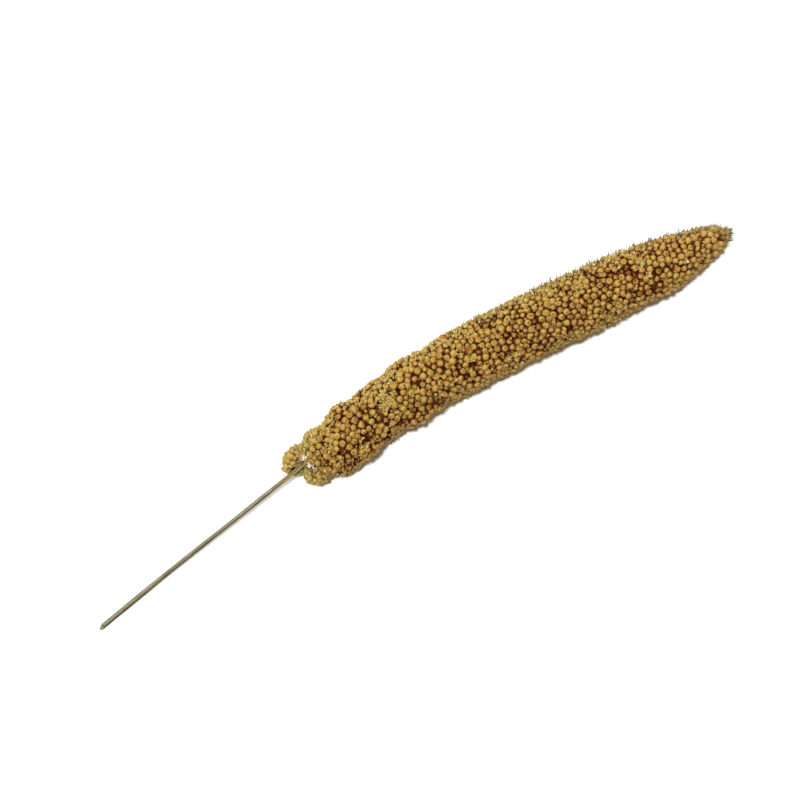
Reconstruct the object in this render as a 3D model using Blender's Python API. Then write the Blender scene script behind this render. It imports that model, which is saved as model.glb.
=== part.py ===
# A millet seed head with a short length of its stalk, cut and laid on its side.
#
# It is two solids. The stalk is one fine ridged rod, from its slanting cut end to where it runs
# into the head. The head is one dense body of grains: they cover it in a golden-angle spiral, on
# clusters that stand apart at the base and run together towards the tip. The grains are raised
# from the surface of the body by formula, and are larger than life.
#
# Lengths are in metres. +X runs from the cut end to the tip, +Z is up, and Z = 0 is the surface
# that the head lies on. Distances s are measured along the axis line from the junction, where
# the stalk enters the head: negative on the stalk, positive in the head.

import math

import bmesh
import bpy
import numpy as np
from mathutils import Vector
from mathutils.geometry import delaunay_2d_cdt

MM = 0.001

# Axis line, from the cut end to the tip: places x, y, z measured from under the cut end
AXIS_KNOTS = (
    (-1.0, -0.4, 0.63),
    (20.0, 2.35, 2.0),
    (44.0, 5.05, 4.7),
    (66.8, 7.6, 6.8),
    (77.0, 7.5, 7.3),
    (90.0, 8.8, 7.5),
    (108.0, 9.3, 7.55),
    (126.0, 8.1, 7.55),
    (157.0, 4.6, 7.55),
    (180.0, 1.4, 7.35),
    (194.0, 0.1, 7.0),
)
ORIGIN_AT = (96.3, 6.385)  # the place under the middle of the whole, on the same measure
JUNCTION_KNOT = 3  # the knot where the stalk enters the head

# Head, over the tops of its grains
HEAD_START = 1.2 * MM  # the body of the head begins just past the junction
BASE_RADIUS = 7.2 * MM
FULL_RADIUS = 8.15 * MM
FULL_FROM = 50 * MM  # the radius has grown to full here
BASE_CAP = 7 * MM  # length of the rounded base
TIP_TAPER = 47 * MM  # length of the taper to the tip
TIP_BLUNTNESS = 0.37  # 0.5 would be a plain ellipse, and less is blunter

# Swellings of the lower head, where whorls of clusters stand out
WHORL_PITCH = 18 * MM
WHORL_AT = 33 * MM  # one swelling is here
WHORL_HEIGHT = 0.45 * MM
WHORL_END = 75 * MM  # the swellings have died away here

# Clusters of grains, each on a short branch of its own
CLUSTER_PITCH = 9.5 * MM
CLUSTER_JITTER = 1.1 * MM
CLUSTER_SEED = 11
CREASE_AT_BASE = 2.0 * MM  # depth of the creases between clusters
CREASE_AT_TIP = 0.35 * MM
CREASE_FADE = 70 * MM  # the creases are shallow from here on

# Clusters that hang round the stalk at the base, each an egg with two ends, on the same measure
# as the axis knots, and a radius
BASAL_CLUSTERS = (
    ((62.5, 10.9, 6.4), (71.5, 10.4, 7.0), 3.05),
    ((65.2, 4.3, 6.0), (74.0, 3.7, 6.8), 3.3),
    ((62.7, 7.2, 4.2), (71.5, 7.5, 5.2), 1.9),
)

# Grains
HEAD_GRAINS = 632
BASAL_GRAIN_PITCH = 2.5 * MM
GRAIN_JITTER = 0.16  # of the distance between two grains
GRAIN_SEED = 5
GRAIN_EVENINGS = 3  # rounds of evening out the room that each grain has
GRAIN_RING_SIDES = 5
GRAIN_RING_SHARE = 0.62  # radius of the ring round a grain, as a share of its cell's radius
GRAIN_RING_DROP = 0.35 * MM  # the ring is this far below the top of the grain
GRAIN_VALLEY = 1.3 * MM  # depth of the furrows between grains
VALLEY_BY_RADIUS = 0.4  # and no deeper than this share of the radius

# Stalk
STALK_RADIUS_CUT = 0.64 * MM
STALK_RADIUS_HEAD = 0.54 * MM
STALK_RIDGES = 6
STALK_RIDGE_HEIGHT = 0.06 * MM
STALK_SIDES = 12
STALK_STATIONS = 44
STALK_CUT_SLANT = 35  # degrees, from square
STALK_IN_HEAD = 11 * MM  # how far the stalk runs into the head
SOCKET_GAP = 0.3 * MM
SOCKET_START = -7 * MM  # clears the basal clusters from round the stalk too
SOCKET_SIDES = 12
SOCKET_STATIONS = 9

GOLDEN_ANGLE = math.pi * (3 - math.sqrt(5))
FINE_STEPS = 4000  # steps in the tables along the axis and along the head's outline


# Axis line

def catmull_rom(knots, steps_each):
    """Points of a smooth curve through the knots, with the ends carried on straight."""
    p = np.array(knots, float)
    p = np.vstack([2 * p[0] - p[1], p, 2 * p[-1] - p[-2]])
    t = np.linspace(0, 1, steps_each, endpoint=False)[:, None]
    spans = [
        0.5
        * (
            2 * p[i]
            + (p[i + 1] - p[i - 1]) * t
            + (2 * p[i - 1] - 5 * p[i] + 4 * p[i + 1] - p[i + 2]) * t**2
            + (3 * p[i] - 3 * p[i + 1] + p[i + 2] - p[i - 1]) * t**3
        )
        for i in range(1, len(p) - 2)
    ]
    return np.vstack([*spans, p[-2]])


def place(x, y, z):
    """A place measured from under the cut end, in metres round the origin."""
    return np.array([x - ORIGIN_AT[0], y - ORIGIN_AT[1], z]) * MM


class Line:
    """A line through points, addressed by the distance s along it."""

    def __init__(self, points, zero=0):
        self.points = points
        steps = np.linalg.norm(np.diff(points, axis=0), axis=1)
        run = np.concatenate([[0], np.cumsum(steps)])
        self.s = run - run[zero]
        self.start = self.s[0]
        self.end = self.s[-1]

    def at(self, s):
        return np.stack([np.interp(s, self.s, self.points[:, k]) for k in range(3)], -1)

    def frame(self, s):
        """Point, and unit vectors forwards, sideways and up, all square to each other."""
        reach = 0.5 * MM
        forwards = self.at(s + reach) - self.at(s - reach)
        forwards /= np.linalg.norm(forwards, axis=-1, keepdims=True)
        sideways = np.cross([0.0, 0.0, 1.0], forwards)
        sideways /= np.linalg.norm(sideways, axis=-1, keepdims=True)
        return self.at(s), forwards, sideways, np.cross(forwards, sideways)


def axis_line():
    """The line that the stalk and the head follow, measured from the junction."""
    per_span = FINE_STEPS // (len(AXIS_KNOTS) - 1)
    points = catmull_rom([place(*k) for k in AXIS_KNOTS], per_span)
    return Line(points, JUNCTION_KNOT * per_span)


# Surface of the head

def smoothstep(t):
    t = np.clip(t, 0, 1)
    return t * t * (3 - 2 * t)


def head_radius(s, head_end):
    """Radius of the bare head at s: a rounded base, a body with whorls, and a long taper."""
    body = BASE_RADIUS + (FULL_RADIUS - BASE_RADIUS) * smoothstep(s / FULL_FROM)
    body += (
        WHORL_HEIGHT
        * (1 - smoothstep(s / WHORL_END))
        * np.cos(2 * math.pi * (s - WHORL_AT) / WHORL_PITCH)
    )
    from_base = np.clip((s - HEAD_START) / BASE_CAP, 0, 1)
    from_tip = np.clip((head_end - s) / TIP_TAPER, 0, 1)
    base_cap = np.sqrt(1 - (1 - from_base) ** 2)
    tip_cap = (1 - (1 - from_tip) ** 2) ** TIP_BLUNTNESS
    return body * base_cap * tip_cap


def egg_radius(s, length, radius):
    """Radius of a plain egg at s."""
    return radius * np.sqrt(np.maximum(1 - (2 * s / length - 1) ** 2, 0))


def cluster_height(s, r, a, clusters):
    """Rise and fall over the clusters: highest over a centre, in a crease between two."""
    off_s = s[..., None] - clusters[:, 0]
    turn = (a[..., None] - clusters[:, 1] + math.pi) % (2 * math.pi) - math.pi
    nearest = np.sqrt(off_s**2 + (r[..., None] * turn) ** 2).min(-1)
    share = np.clip(nearest / (CLUSTER_PITCH * 0.62), 0, 1)
    fade = 1 - smoothstep(s / CREASE_FADE)
    depth = CREASE_AT_TIP + (CREASE_AT_BASE - CREASE_AT_TIP) * fade
    return depth * (0.3 - share**2)


class Body:
    """A body turned about a line, addressed by the distance m along its outline from the base
    pole and the angle a about the line."""

    def __init__(self, line, start, radius):
        self.line = line
        self.clusters = None
        turn = np.linspace(0, math.pi, FINE_STEPS)
        self.s = start + (line.end - start) * (1 - np.cos(turn)) / 2
        self.r = radius(self.s)
        step = np.hypot(np.diff(self.s), np.diff(self.r))
        middle_r = (self.r[1:] + self.r[:-1]) / 2
        self.m = np.concatenate([[0], np.cumsum(step)])
        self.area = np.concatenate([[0], np.cumsum(2 * math.pi * middle_r * step)])
        # Distances along the outline over the radius give a map that keeps small shapes
        self.map_x = np.concatenate([[0], np.cumsum(step / np.maximum(middle_r, 1e-6))])
        slope_s = np.gradient(self.s, self.m)
        slope_r = np.gradient(self.r, self.m)
        self.normal_s = -slope_r / np.hypot(slope_s, slope_r)
        self.normal_r = slope_s / np.hypot(slope_s, slope_r)
        self.normal_s[[0, -1]] = -1, 1
        self.normal_r[[0, -1]] = 0

    def table(self, values, m):
        return np.interp(m, self.m, values)

    def raise_clusters(self):
        """Centres (s, a) of the clusters: a golden-angle spiral with a little seeded jitter."""
        cell = CLUSTER_PITCH**2 * math.sqrt(3) / 2
        count = int(self.area[-1] / cell)
        draw = np.random.RandomState(CLUSTER_SEED)
        index = np.arange(count)
        m = np.interp((index + 0.5) * cell, self.area, self.m)
        s = self.table(self.s, m) + draw.normal(0, CLUSTER_JITTER, count)
        a = index * GOLDEN_ANGLE + draw.normal(0, CLUSTER_JITTER / FULL_RADIUS, count)
        self.clusters = np.stack([s, a % (2 * math.pi)], -1)

    def top(self, m, a):
        """Point over the tops of the grains, and the bare surface's normal there."""
        s = self.table(self.s, m)
        r = self.table(self.r, m)
        centre, forwards, sideways, up = self.line.frame(s)
        out = np.cos(a)[..., None] * sideways + np.sin(a)[..., None] * up
        normal = (
            self.table(self.normal_s, m)[..., None] * forwards
            + self.table(self.normal_r, m)[..., None] * out
        )
        normal /= np.linalg.norm(normal, axis=-1, keepdims=True)
        if self.clusters is not None:
            r_top = r + cluster_height(s, r, a, self.clusters) * self.table(self.normal_r, m)
            return centre + r_top[..., None] * out, normal
        return centre + r[..., None] * out, normal


# Grains

def grain_centres(body, count):
    """Outline distance and angle of every grain: equal areas along a golden-angle spiral with
    a little seeded jitter, and one more grain on each pole."""
    draw = np.random.RandomState(GRAIN_SEED)
    index = np.arange(1, count - 1)
    jitter = GRAIN_JITTER * math.sqrt(body.area[-1] / count)
    m = np.interp((index + 0.5) / count * body.area[-1], body.area, body.m)
    near_pole = np.minimum(m, body.m[-1] - m) < 3 * MM
    shift = np.where(near_pole, 0, jitter)
    m = m + draw.normal(0, 1, len(m)) * shift
    r = np.maximum(body.table(body.r, m), 1 * MM)
    a = index * GOLDEN_ANGLE + draw.normal(0, 1, len(m)) * shift / r
    m = np.concatenate([[0], m, [body.m[-1]]])
    a = np.concatenate([[0], a % (2 * math.pi), [0]])
    for _ in range(GRAIN_EVENINGS):
        m, a = evened(body, m, a)
    return m, a


def evened(body, m, a):
    """The grains, all but those on the poles, each moved to the middle of its corners."""
    triples, middles = grain_triangles(body, m, a)
    step = np.zeros((len(m), 2))
    count = np.zeros(len(m))
    for grain in np.array(triples).T:
        turn = (middles[:, 1] - a[grain] + math.pi) % (2 * math.pi) - math.pi
        np.add.at(step, grain, np.stack([middles[:, 0] - m[grain], turn], -1))
        np.add.at(count, grain, 1)
    step /= count[:, None]
    step[[0, -1]] = 0
    return m + step[:, 0], (a + step[:, 1]) % (2 * math.pi)


def grain_triangles(body, m, a):
    """Triples of neighbouring grains, and the middle (m, a) of each triple. They come from a
    Delaunay triangulation of the unrolled surface, laid out three turns wide."""
    full_turn = 2 * math.pi
    last = len(m) - 1
    x = np.interp(m, body.m, body.map_x)
    pole_reach = 0.7  # how far past the outermost grains the poles' rows lie on the map
    rows = [
        (0, x[1:-1].min() - pole_reach),
        (last, x[1:-1].max() + pole_reach),
    ]
    spots = [
        (i, x[i], a[i] + turn * full_turn) for turn in (-1, 0, 1) for i in range(1, last)
    ]
    pole_copies = 16
    for grain, row_x in rows:
        spots += [
            (grain, row_x, full_turn * k / pole_copies)
            for k in range(-pole_copies, 2 * pole_copies)
        ]
    found = delaunay_2d_cdt([Vector((sx, sa)) for _, sx, sa in spots], [], [], 0, 1e-9)
    triples = []
    middles = []
    for face in found[2]:
        corners = [found[3][v][0] for v in face]
        grains = [spots[c][0] for c in corners]
        middle_a = sum(spots[c][2] for c in corners) / 3
        if len(set(grains)) == 3 and 0 <= middle_a < full_turn:
            away = [spots[c][2] for c in corners if 0 < spots[c][0] < last]
            triples.append(grains)
            middles.append((np.mean([m[g] for g in grains]), np.mean(away)))
    return triples, np.array(middles)


def grain_mesh(body, count):
    """Vertices and triangles of a body covered in grains. A grain is a dome with a top and a ring
    of its own, and shares the furrow corners round it with its neighbours."""
    m, a = grain_centres(body, count)
    triples, middles = grain_triangles(body, m, a)
    tops, normals = body.top(m, a)
    furrow_tops, furrow_normals = body.top(middles[:, 0], middles[:, 1])
    furrow_radius = body.table(body.r, middles[:, 0])
    depth = np.minimum(GRAIN_VALLEY, VALLEY_BY_RADIUS * furrow_radius)
    furrows = furrow_tops - depth[:, None] * furrow_normals

    around = [[] for _ in m]
    for corner, grains in enumerate(triples):
        for grain in grains:
            around[grain].append(corner)

    verts = [*furrows]
    faces = []
    for grain, corners in enumerate(around):
        centre = tops[grain]
        rim = furrow_tops[corners] - centre
        out = facing(rim, normals[grain])
        first = rim[0] - rim[0].dot(out) * out
        first /= np.linalg.norm(first)
        second = np.cross(out, first)
        angles = np.arctan2(rim @ second, rim @ first) % (2 * math.pi)
        order = np.argsort(angles)
        corners = [corners[k] for k in order]
        start = len(verts)
        ring_angles = 2 * math.pi * np.arange(GRAIN_RING_SIDES) / GRAIN_RING_SIDES
        flat_rim = np.stack([rim[order] @ first, rim[order] @ second], -1)
        for angle in ring_angles:
            lean = math.cos(angle) * first + math.sin(angle) * second
            reach = GRAIN_RING_SHARE * rim_distance(flat_rim, angle)
            verts.append(centre + reach * lean - GRAIN_RING_DROP * out)
        verts.append(centre)
        top = len(verts) - 1
        ring = list(range(start, top))
        faces += zipped(corners, angles[order], ring, ring_angles)
        faces += [(top, ring[k - 1], ring[k]) for k in range(GRAIN_RING_SIDES)]
    return np.array(verts), faces


def rim_distance(flat_rim, angle):
    """Distance from the middle of a flat rim to its edge, in the direction of the angle."""
    direction = np.array([math.cos(angle), math.sin(angle)])
    start, edge = flat_rim, np.roll(flat_rim, -1, 0) - flat_rim
    across = direction[0] * edge[:, 1] - direction[1] * edge[:, 0]
    across = np.where(np.abs(across) < 1e-12, 1e-12, across)
    distance = (start[:, 0] * edge[:, 1] - start[:, 1] * edge[:, 0]) / across
    along = (start[:, 0] * direction[1] - start[:, 1] * direction[0]) / across
    hit = (distance > 0) & (along >= -1e-9) & (along <= 1 + 1e-9)
    return distance[hit].min()


def facing(rim, outward):
    """Unit normal of the plane through a grain's rim, on the outward side."""
    _, _, axes = np.linalg.svd(rim - rim.mean(0))
    normal = axes[2] if axes[2].dot(outward) > 0 else -axes[2]
    blended = normal + outward
    return blended / np.linalg.norm(blended)


def zipped(outer, outer_angles, inner, inner_angles):
    """Triangles of the band between two rings of vertices, both anticlockwise."""
    ends = np.append(outer_angles[1:], outer_angles[0] + 2 * math.pi)
    middle = (outer_angles + ends) / 2
    apart = (inner_angles - middle[:, None] + math.pi) % (2 * math.pi) - math.pi
    nearest = np.abs(apart).argmin(1)
    faces = []
    for i, corner in enumerate(outer):
        following = (i + 1) % len(outer)
        here = nearest[i]
        faces.append((corner, outer[following], inner[here]))
        while here != nearest[following]:
            after = (here + 1) % len(inner)
            faces.append((inner[here], outer[following], inner[after]))
            here = after
    return faces


# Rods that follow the axis line

def swept_rod(axis, stations, ring_angles, ring_radii):
    """Vertices and faces of a rod with closed ends: at each station s a ring of points, at
    the given angles and radii, square to the axis line."""
    centre, _, sideways, up = axis.frame(stations)
    across = (
        np.cos(ring_angles)[None, :, None] * sideways[:, None]
        + np.sin(ring_angles)[None, :, None] * up[:, None]
    )
    rings = centre[:, None] + ring_radii[..., None] * across
    sides = len(ring_angles)
    faces = [
        (i * sides + k, i * sides + (k + 1) % sides, (i + 1) * sides + (k + 1) % sides)
        + ((i + 1) * sides + k,)
        for i in range(len(stations) - 1)
        for k in range(sides)
    ]
    last = (len(stations) - 1) * sides
    faces.append(tuple(range(sides))[::-1])
    faces.append(tuple(range(last, last + sides)))
    return rings, faces


def stalk_mesh(axis):
    """The stalk: ridged, thinner towards the head, and cut on the slant at its foot."""
    stations = np.linspace(axis.start, STALK_IN_HEAD, STALK_STATIONS)
    angles = 2 * math.pi * np.arange(STALK_SIDES) / STALK_SIDES
    share = (stations - axis.start) / (STALK_IN_HEAD - axis.start)
    radius = STALK_RADIUS_CUT + (STALK_RADIUS_HEAD - STALK_RADIUS_CUT) * share
    ridge = STALK_RIDGE_HEIGHT / 2 * np.cos(STALK_RIDGES * angles)
    rings, faces = swept_rod(axis, stations, angles, radius[:, None] + ridge)
    _, forwards, _, up = axis.frame(stations[:1])
    height = (rings[0] - rings[0].mean(0)) @ up[0]
    rings[0] += (height * math.tan(math.radians(STALK_CUT_SLANT)))[:, None] * forwards[0]
    return rings.reshape(-1, 3), faces


def socket_mesh(axis):
    """What is cleared from the head round the stalk."""
    stations = np.linspace(SOCKET_START, STALK_IN_HEAD + SOCKET_GAP, SOCKET_STATIONS)
    angles = 2 * math.pi * (np.arange(SOCKET_SIDES) + 0.5) / SOCKET_SIDES
    radius = STALK_RADIUS_HEAD + STALK_RIDGE_HEIGHT + SOCKET_GAP
    radii = np.full((SOCKET_STATIONS, SOCKET_SIDES), radius)
    rings, faces = swept_rod(axis, stations, angles, radii)
    return rings.reshape(-1, 3), faces


# Objects

def plain_material(name, colour, roughness):
    material = bpy.data.materials.new(name)
    material.use_nodes = True
    shader = material.node_tree.nodes["Principled BSDF"]
    shader.inputs["Base Color"].default_value = (*colour, 1)
    shader.inputs["Roughness"].default_value = roughness
    material.diffuse_color = (*colour, 1)
    return material


def make_object(name, verts, faces, material=None):
    """A mesh object whose lowest points are levelled to the surface it lies on."""
    verts = np.array(verts)
    verts[:, 2] = np.maximum(verts[:, 2], 0)
    mesh = bpy.data.meshes.new(name)
    mesh.from_pydata([tuple(v) for v in verts], [], [tuple(map(int, f)) for f in faces])
    tidy = bmesh.new()
    tidy.from_mesh(mesh)
    bmesh.ops.recalc_face_normals(tidy, faces=tidy.faces)
    tidy.to_mesh(mesh)
    tidy.free()
    obj = bpy.data.objects.new(name, mesh)
    bpy.context.scene.collection.objects.link(obj)
    if material:
        mesh.materials.append(material)
    return obj


def make_basal_clusters(collection):
    """The clusters round the stalk, in a collection of their own."""
    for number, (base, top, radius) in enumerate(BASAL_CLUSTERS):
        line = Line(np.array([place(*base), place(*top)]))
        egg = Body(line, 0, lambda s: egg_radius(s, line.end, radius * MM))
        cell = BASAL_GRAIN_PITCH**2 * math.sqrt(3) / 2
        mesh = grain_mesh(egg, round(egg.area[-1] / cell))
        obj = make_object(f"basal_cluster_{number}", *mesh)
        bpy.context.scene.collection.objects.unlink(obj)
        collection.objects.link(obj)


def keep_outer_shell(mesh):
    """Fill hollows that joining has sealed, by keeping only the largest linked shell."""
    work = bmesh.new()
    work.from_mesh(mesh)
    left = set(work.faces)
    shells = []
    while left:
        shell = {left.pop()}
        edge_on = list(shell)
        while edge_on:
            face = edge_on.pop()
            linked = {other for edge in face.edges for other in edge.link_faces} & left
            left -= linked
            shell |= linked
            edge_on += linked
        shells.append(shell)
    largest = max(shells, key=len)
    spare = [face for shell in shells if shell is not largest for face in shell]
    bmesh.ops.delete(work, geom=spare, context="FACES")
    work.to_mesh(mesh)
    work.free()


def fuse(obj, collection):
    """Join everything in the collection to the object, then drop the collection."""
    bpy.context.scene.collection.children.link(collection)
    union = obj.modifiers.new("joined", "BOOLEAN")
    union.operation = "UNION"
    union.operand_type = "COLLECTION"
    union.collection = collection
    depsgraph = bpy.context.evaluated_depsgraph_get()
    joined = bpy.data.meshes.new_from_object(obj.evaluated_get(depsgraph))
    keep_outer_shell(joined)
    obj.modifiers.remove(union)
    obj.data = joined
    for part in list(collection.objects):
        bpy.data.objects.remove(part)
    bpy.data.collections.remove(collection)


def clear_round_stalk(obj, axis):
    """Cut the socket that the stalk runs into."""
    socket = make_object("stalk_socket", *socket_mesh(axis))
    socket.hide_render = True
    socket.display_type = "WIRE"
    cut = obj.modifiers.new("clear of the stalk", "BOOLEAN")
    cut.operation = "DIFFERENCE"
    cut.object = socket


def shade_round(obj, sharp_degrees):
    obj.data.shade_smooth()
    obj.data.set_sharp_from_angle(angle=math.radians(sharp_degrees))


def main():
    for obj in list(bpy.data.objects):
        bpy.data.objects.remove(obj)

    axis = axis_line()
    straw = plain_material("dry_stalk", (0.24, 0.20, 0.10), 0.55)
    gold = plain_material("millet_grain", (0.38, 0.20, 0.05), 0.6)

    stalk = make_object("stalk", *stalk_mesh(axis), straw)
    shade_round(stalk, 50)

    body = Body(axis, HEAD_START, lambda s: head_radius(s, axis.end))
    body.raise_clusters()
    head = make_object("seed_head", *grain_mesh(body, HEAD_GRAINS), gold)
    clusters = bpy.data.collections.new("basal_clusters")
    make_basal_clusters(clusters)
    fuse(head, clusters)
    clear_round_stalk(head, axis)
    shade_round(head, 62)


main()
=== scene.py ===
# Looks of a millet seed head on a short length of its stalk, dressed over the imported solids.
# Shapes are worked out in millimetres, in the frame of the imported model: +X runs from the cut end
# of the stalk to the tip of the head, +Z is up, and Z = 0 is the surface that the head lies on.
# A distance s is measured along the axis line from the junction, where the stalk meets the head.

import math

import bpy
import numpy as np
from mathutils import Matrix, Vector


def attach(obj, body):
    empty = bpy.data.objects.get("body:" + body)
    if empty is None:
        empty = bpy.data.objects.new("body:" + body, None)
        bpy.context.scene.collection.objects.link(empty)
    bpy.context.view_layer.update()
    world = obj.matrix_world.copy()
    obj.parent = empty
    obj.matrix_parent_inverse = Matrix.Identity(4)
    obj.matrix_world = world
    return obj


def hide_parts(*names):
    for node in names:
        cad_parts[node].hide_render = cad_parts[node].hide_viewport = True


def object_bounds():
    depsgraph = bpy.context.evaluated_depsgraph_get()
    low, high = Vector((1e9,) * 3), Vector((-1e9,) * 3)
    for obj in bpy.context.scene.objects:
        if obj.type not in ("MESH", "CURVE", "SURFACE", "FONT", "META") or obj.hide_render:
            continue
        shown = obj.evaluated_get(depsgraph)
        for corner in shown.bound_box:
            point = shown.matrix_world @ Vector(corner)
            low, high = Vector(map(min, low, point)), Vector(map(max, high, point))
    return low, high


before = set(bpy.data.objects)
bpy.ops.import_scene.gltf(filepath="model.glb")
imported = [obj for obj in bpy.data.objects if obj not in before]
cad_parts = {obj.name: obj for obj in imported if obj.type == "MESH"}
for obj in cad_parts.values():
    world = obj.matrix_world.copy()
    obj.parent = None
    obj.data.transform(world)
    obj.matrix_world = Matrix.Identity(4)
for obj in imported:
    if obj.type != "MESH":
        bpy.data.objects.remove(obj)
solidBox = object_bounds()

mm = 0.001
goldenAngle = math.pi * (3 - math.sqrt(5))
fullTurn = 2 * math.pi
boxCorners = np.array([list(corner) for corner in solidBox]) / mm
boxSides = boxCorners[1] - boxCorners[0]
roomAround = 0.028  # how far outside that box a piece may reach, as a share of its side
leastCorner = (boxCorners[0] - roomAround * boxSides) * [1, 1, 0]
mostCorner = boxCorners[1] + roomAround * boxSides


# Lines and bodies that the pieces are laid out on, the same as the solids follow

axisLine = {
    "knots": (  # x, y, z from under the cut end
        (-1.0, -0.4, 0.63),
        (20.0, 2.35, 2.0),
        (44.0, 5.05, 4.7),
        (66.8, 7.6, 6.8),
        (77.0, 7.5, 7.3),
        (90.0, 8.8, 7.5),
        (108.0, 9.3, 7.55),
        (126.0, 8.1, 7.55),
        (157.0, 4.6, 7.55),
        (180.0, 1.4, 7.35),
        (194.0, 0.1, 7.0),
    ),
    "originAt": (96.3, 6.385),  # the place of the origin on that measure
    "junctionKnot": 3,
    "stepsPerSpan": 400,
}

headForm = {
    "start": 1.2,
    "baseRadius": 7.2,
    "fullRadius": 8.15,
    "fullFrom": 50,
    "baseCap": 7,
    "tipTaper": 47,
    "tipBluntness": 0.37,
    "whorlPitch": 18,
    "whorlAt": 33,
    "whorlHeight": 0.45,
    "whorlEnd": 75,
    "clusterPitch": 9.5,
    "clusterJitter": 1.1,
    "clusterSeed": 11,
    "creaseAtBase": 2.0,
    "creaseAtTip": 0.35,
    "creaseFade": 70,
    "tableSteps": 4000,
    "clusterReach": 0.62,  # where a cluster's dish ends, as a share of the pitch
    "clusterTop": 0.3,
    "tipSunk": (0.85, 4.5),  # how far inside the solid the last tops lie, and over what run
    "flank": (0.3, 0.5),  # how far outside the solid the tops lie on the +Y and -Y flanks
    "tipFlank": (-0.45, -1.05),  # the same at the tip
    "flankTurns": (20, 14),  # how far before the tip the one turns into the other, and its run
}

basalClusters = (  # two ends on the knots' measure, and a radius
    ((62.5, 10.9, 6.4), (71.5, 10.4, 7.0), 3.05),
    ((65.2, 4.3, 6.0), (74.0, 3.7, 6.8), 3.3),
    ((62.7, 7.2, 4.2), (71.5, 7.5, 5.2), 1.9),
)


def place(x, y, z):
    return np.array([x - axisLine["originAt"][0], y - axisLine["originAt"][1], z])


def unit(v):
    return v / np.linalg.norm(v, axis=-1, keepdims=True)


def between(low, high, share):
    return low + (high - low) * share


# From 0 to 1 over a run that begins at the start, level at both its ends
def eased(x, start, run):
    t = np.clip((x - start) / run, 0, 1)
    return t * t * (3 - 2 * t)


# An angle brought to within half a turn of nought
def nearTurn(a):
    return (a + math.pi) % fullTurn - math.pi


# How squarely the angle a faces the given degrees: the cosine between them, to a power
def turnedTo(a, degrees, power):
    return np.clip(np.cos(a - math.radians(degrees)), 0, 1) ** power


def ringAngles(sides):
    return fullTurn * np.arange(sides) / sides


# A Catmull-Rom curve: between two knots a cubic whose slope at each is half the step between
# that knot's neighbours, with both ends carried on straight
def smoothCurve(knots, stepsEach):
    p = np.array(knots, float)
    p = np.vstack([2 * p[0] - p[1], p, 2 * p[-1] - p[-2]])
    t = np.linspace(0, 1, stepsEach, endpoint=False)[:, None]
    before, here, after, beyond = (p[k:len(p) - 3 + k, None] for k in range(4))
    spans = 0.5 * (
        2 * here
        + (after - before) * t
        + (2 * before - 5 * here + 4 * after - beyond) * t**2
        + (3 * here - 3 * after + beyond - before) * t**3
    )
    return np.vstack([spans.reshape(-1, 3), p[-2]])


# A line through points, read by the distance s along it
class Line:
    def __init__(self, points, zero=0):
        self.points = points
        run = np.concatenate([[0], np.cumsum(np.linalg.norm(np.diff(points, axis=0), axis=1))])
        self.s = run - run[zero]
        self.start = self.s[0]
        self.end = self.s[-1]

    def at(self, s):
        return np.stack([np.interp(s, self.s, self.points[:, k]) for k in range(3)], -1)

    # The point, and unit vectors forwards, sideways and up
    def frameAt(self, s):
        forwards = unit(self.at(s + 0.5) - self.at(s - 0.5))
        sideways = unit(np.cross([0.0, 0.0, 1.0], forwards))
        return self.at(s), forwards, sideways, np.cross(forwards, sideways)


# Radius of the head at s: a body that swells in whorls, times a quarter circle at the base and a
# blunt power of one at the tip
def headRadius(s, headEnd):
    form = headForm
    body = between(form["baseRadius"], form["fullRadius"], eased(s, 0, form["fullFrom"]))
    swell = np.cos(fullTurn * (s - form["whorlAt"]) / form["whorlPitch"])
    body = body + form["whorlHeight"] * (1 - eased(s, 0, form["whorlEnd"])) * swell
    fromBase = np.clip((s - form["start"]) / form["baseCap"], 0, 1)
    fromTip = np.clip((headEnd - s) / form["tipTaper"], 0, 1)
    return body * np.sqrt(1 - (1 - fromBase) ** 2) * (1 - (1 - fromTip) ** 2) ** form["tipBluntness"]


# How far outside the solid the tops are at the angle a: the amount for its flank, blended along s
# into the one for the tip, times the cosine squared
def flankSwell(s, a, headEnd):
    start, run = headForm["flankTurns"]
    swell, sink = (np.where(np.cos(a) > 0, *headForm[key]) for key in ("flank", "tipFlank"))
    return between(swell, sink, eased(s, headEnd - start, run)) * np.cos(a) ** 2


# Radius of a plain egg at s: a half ellipse
def eggRadius(s, length, radius):
    return radius * np.sqrt(np.maximum(1 - (2 * s / length - 1) ** 2, 0))


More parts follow.
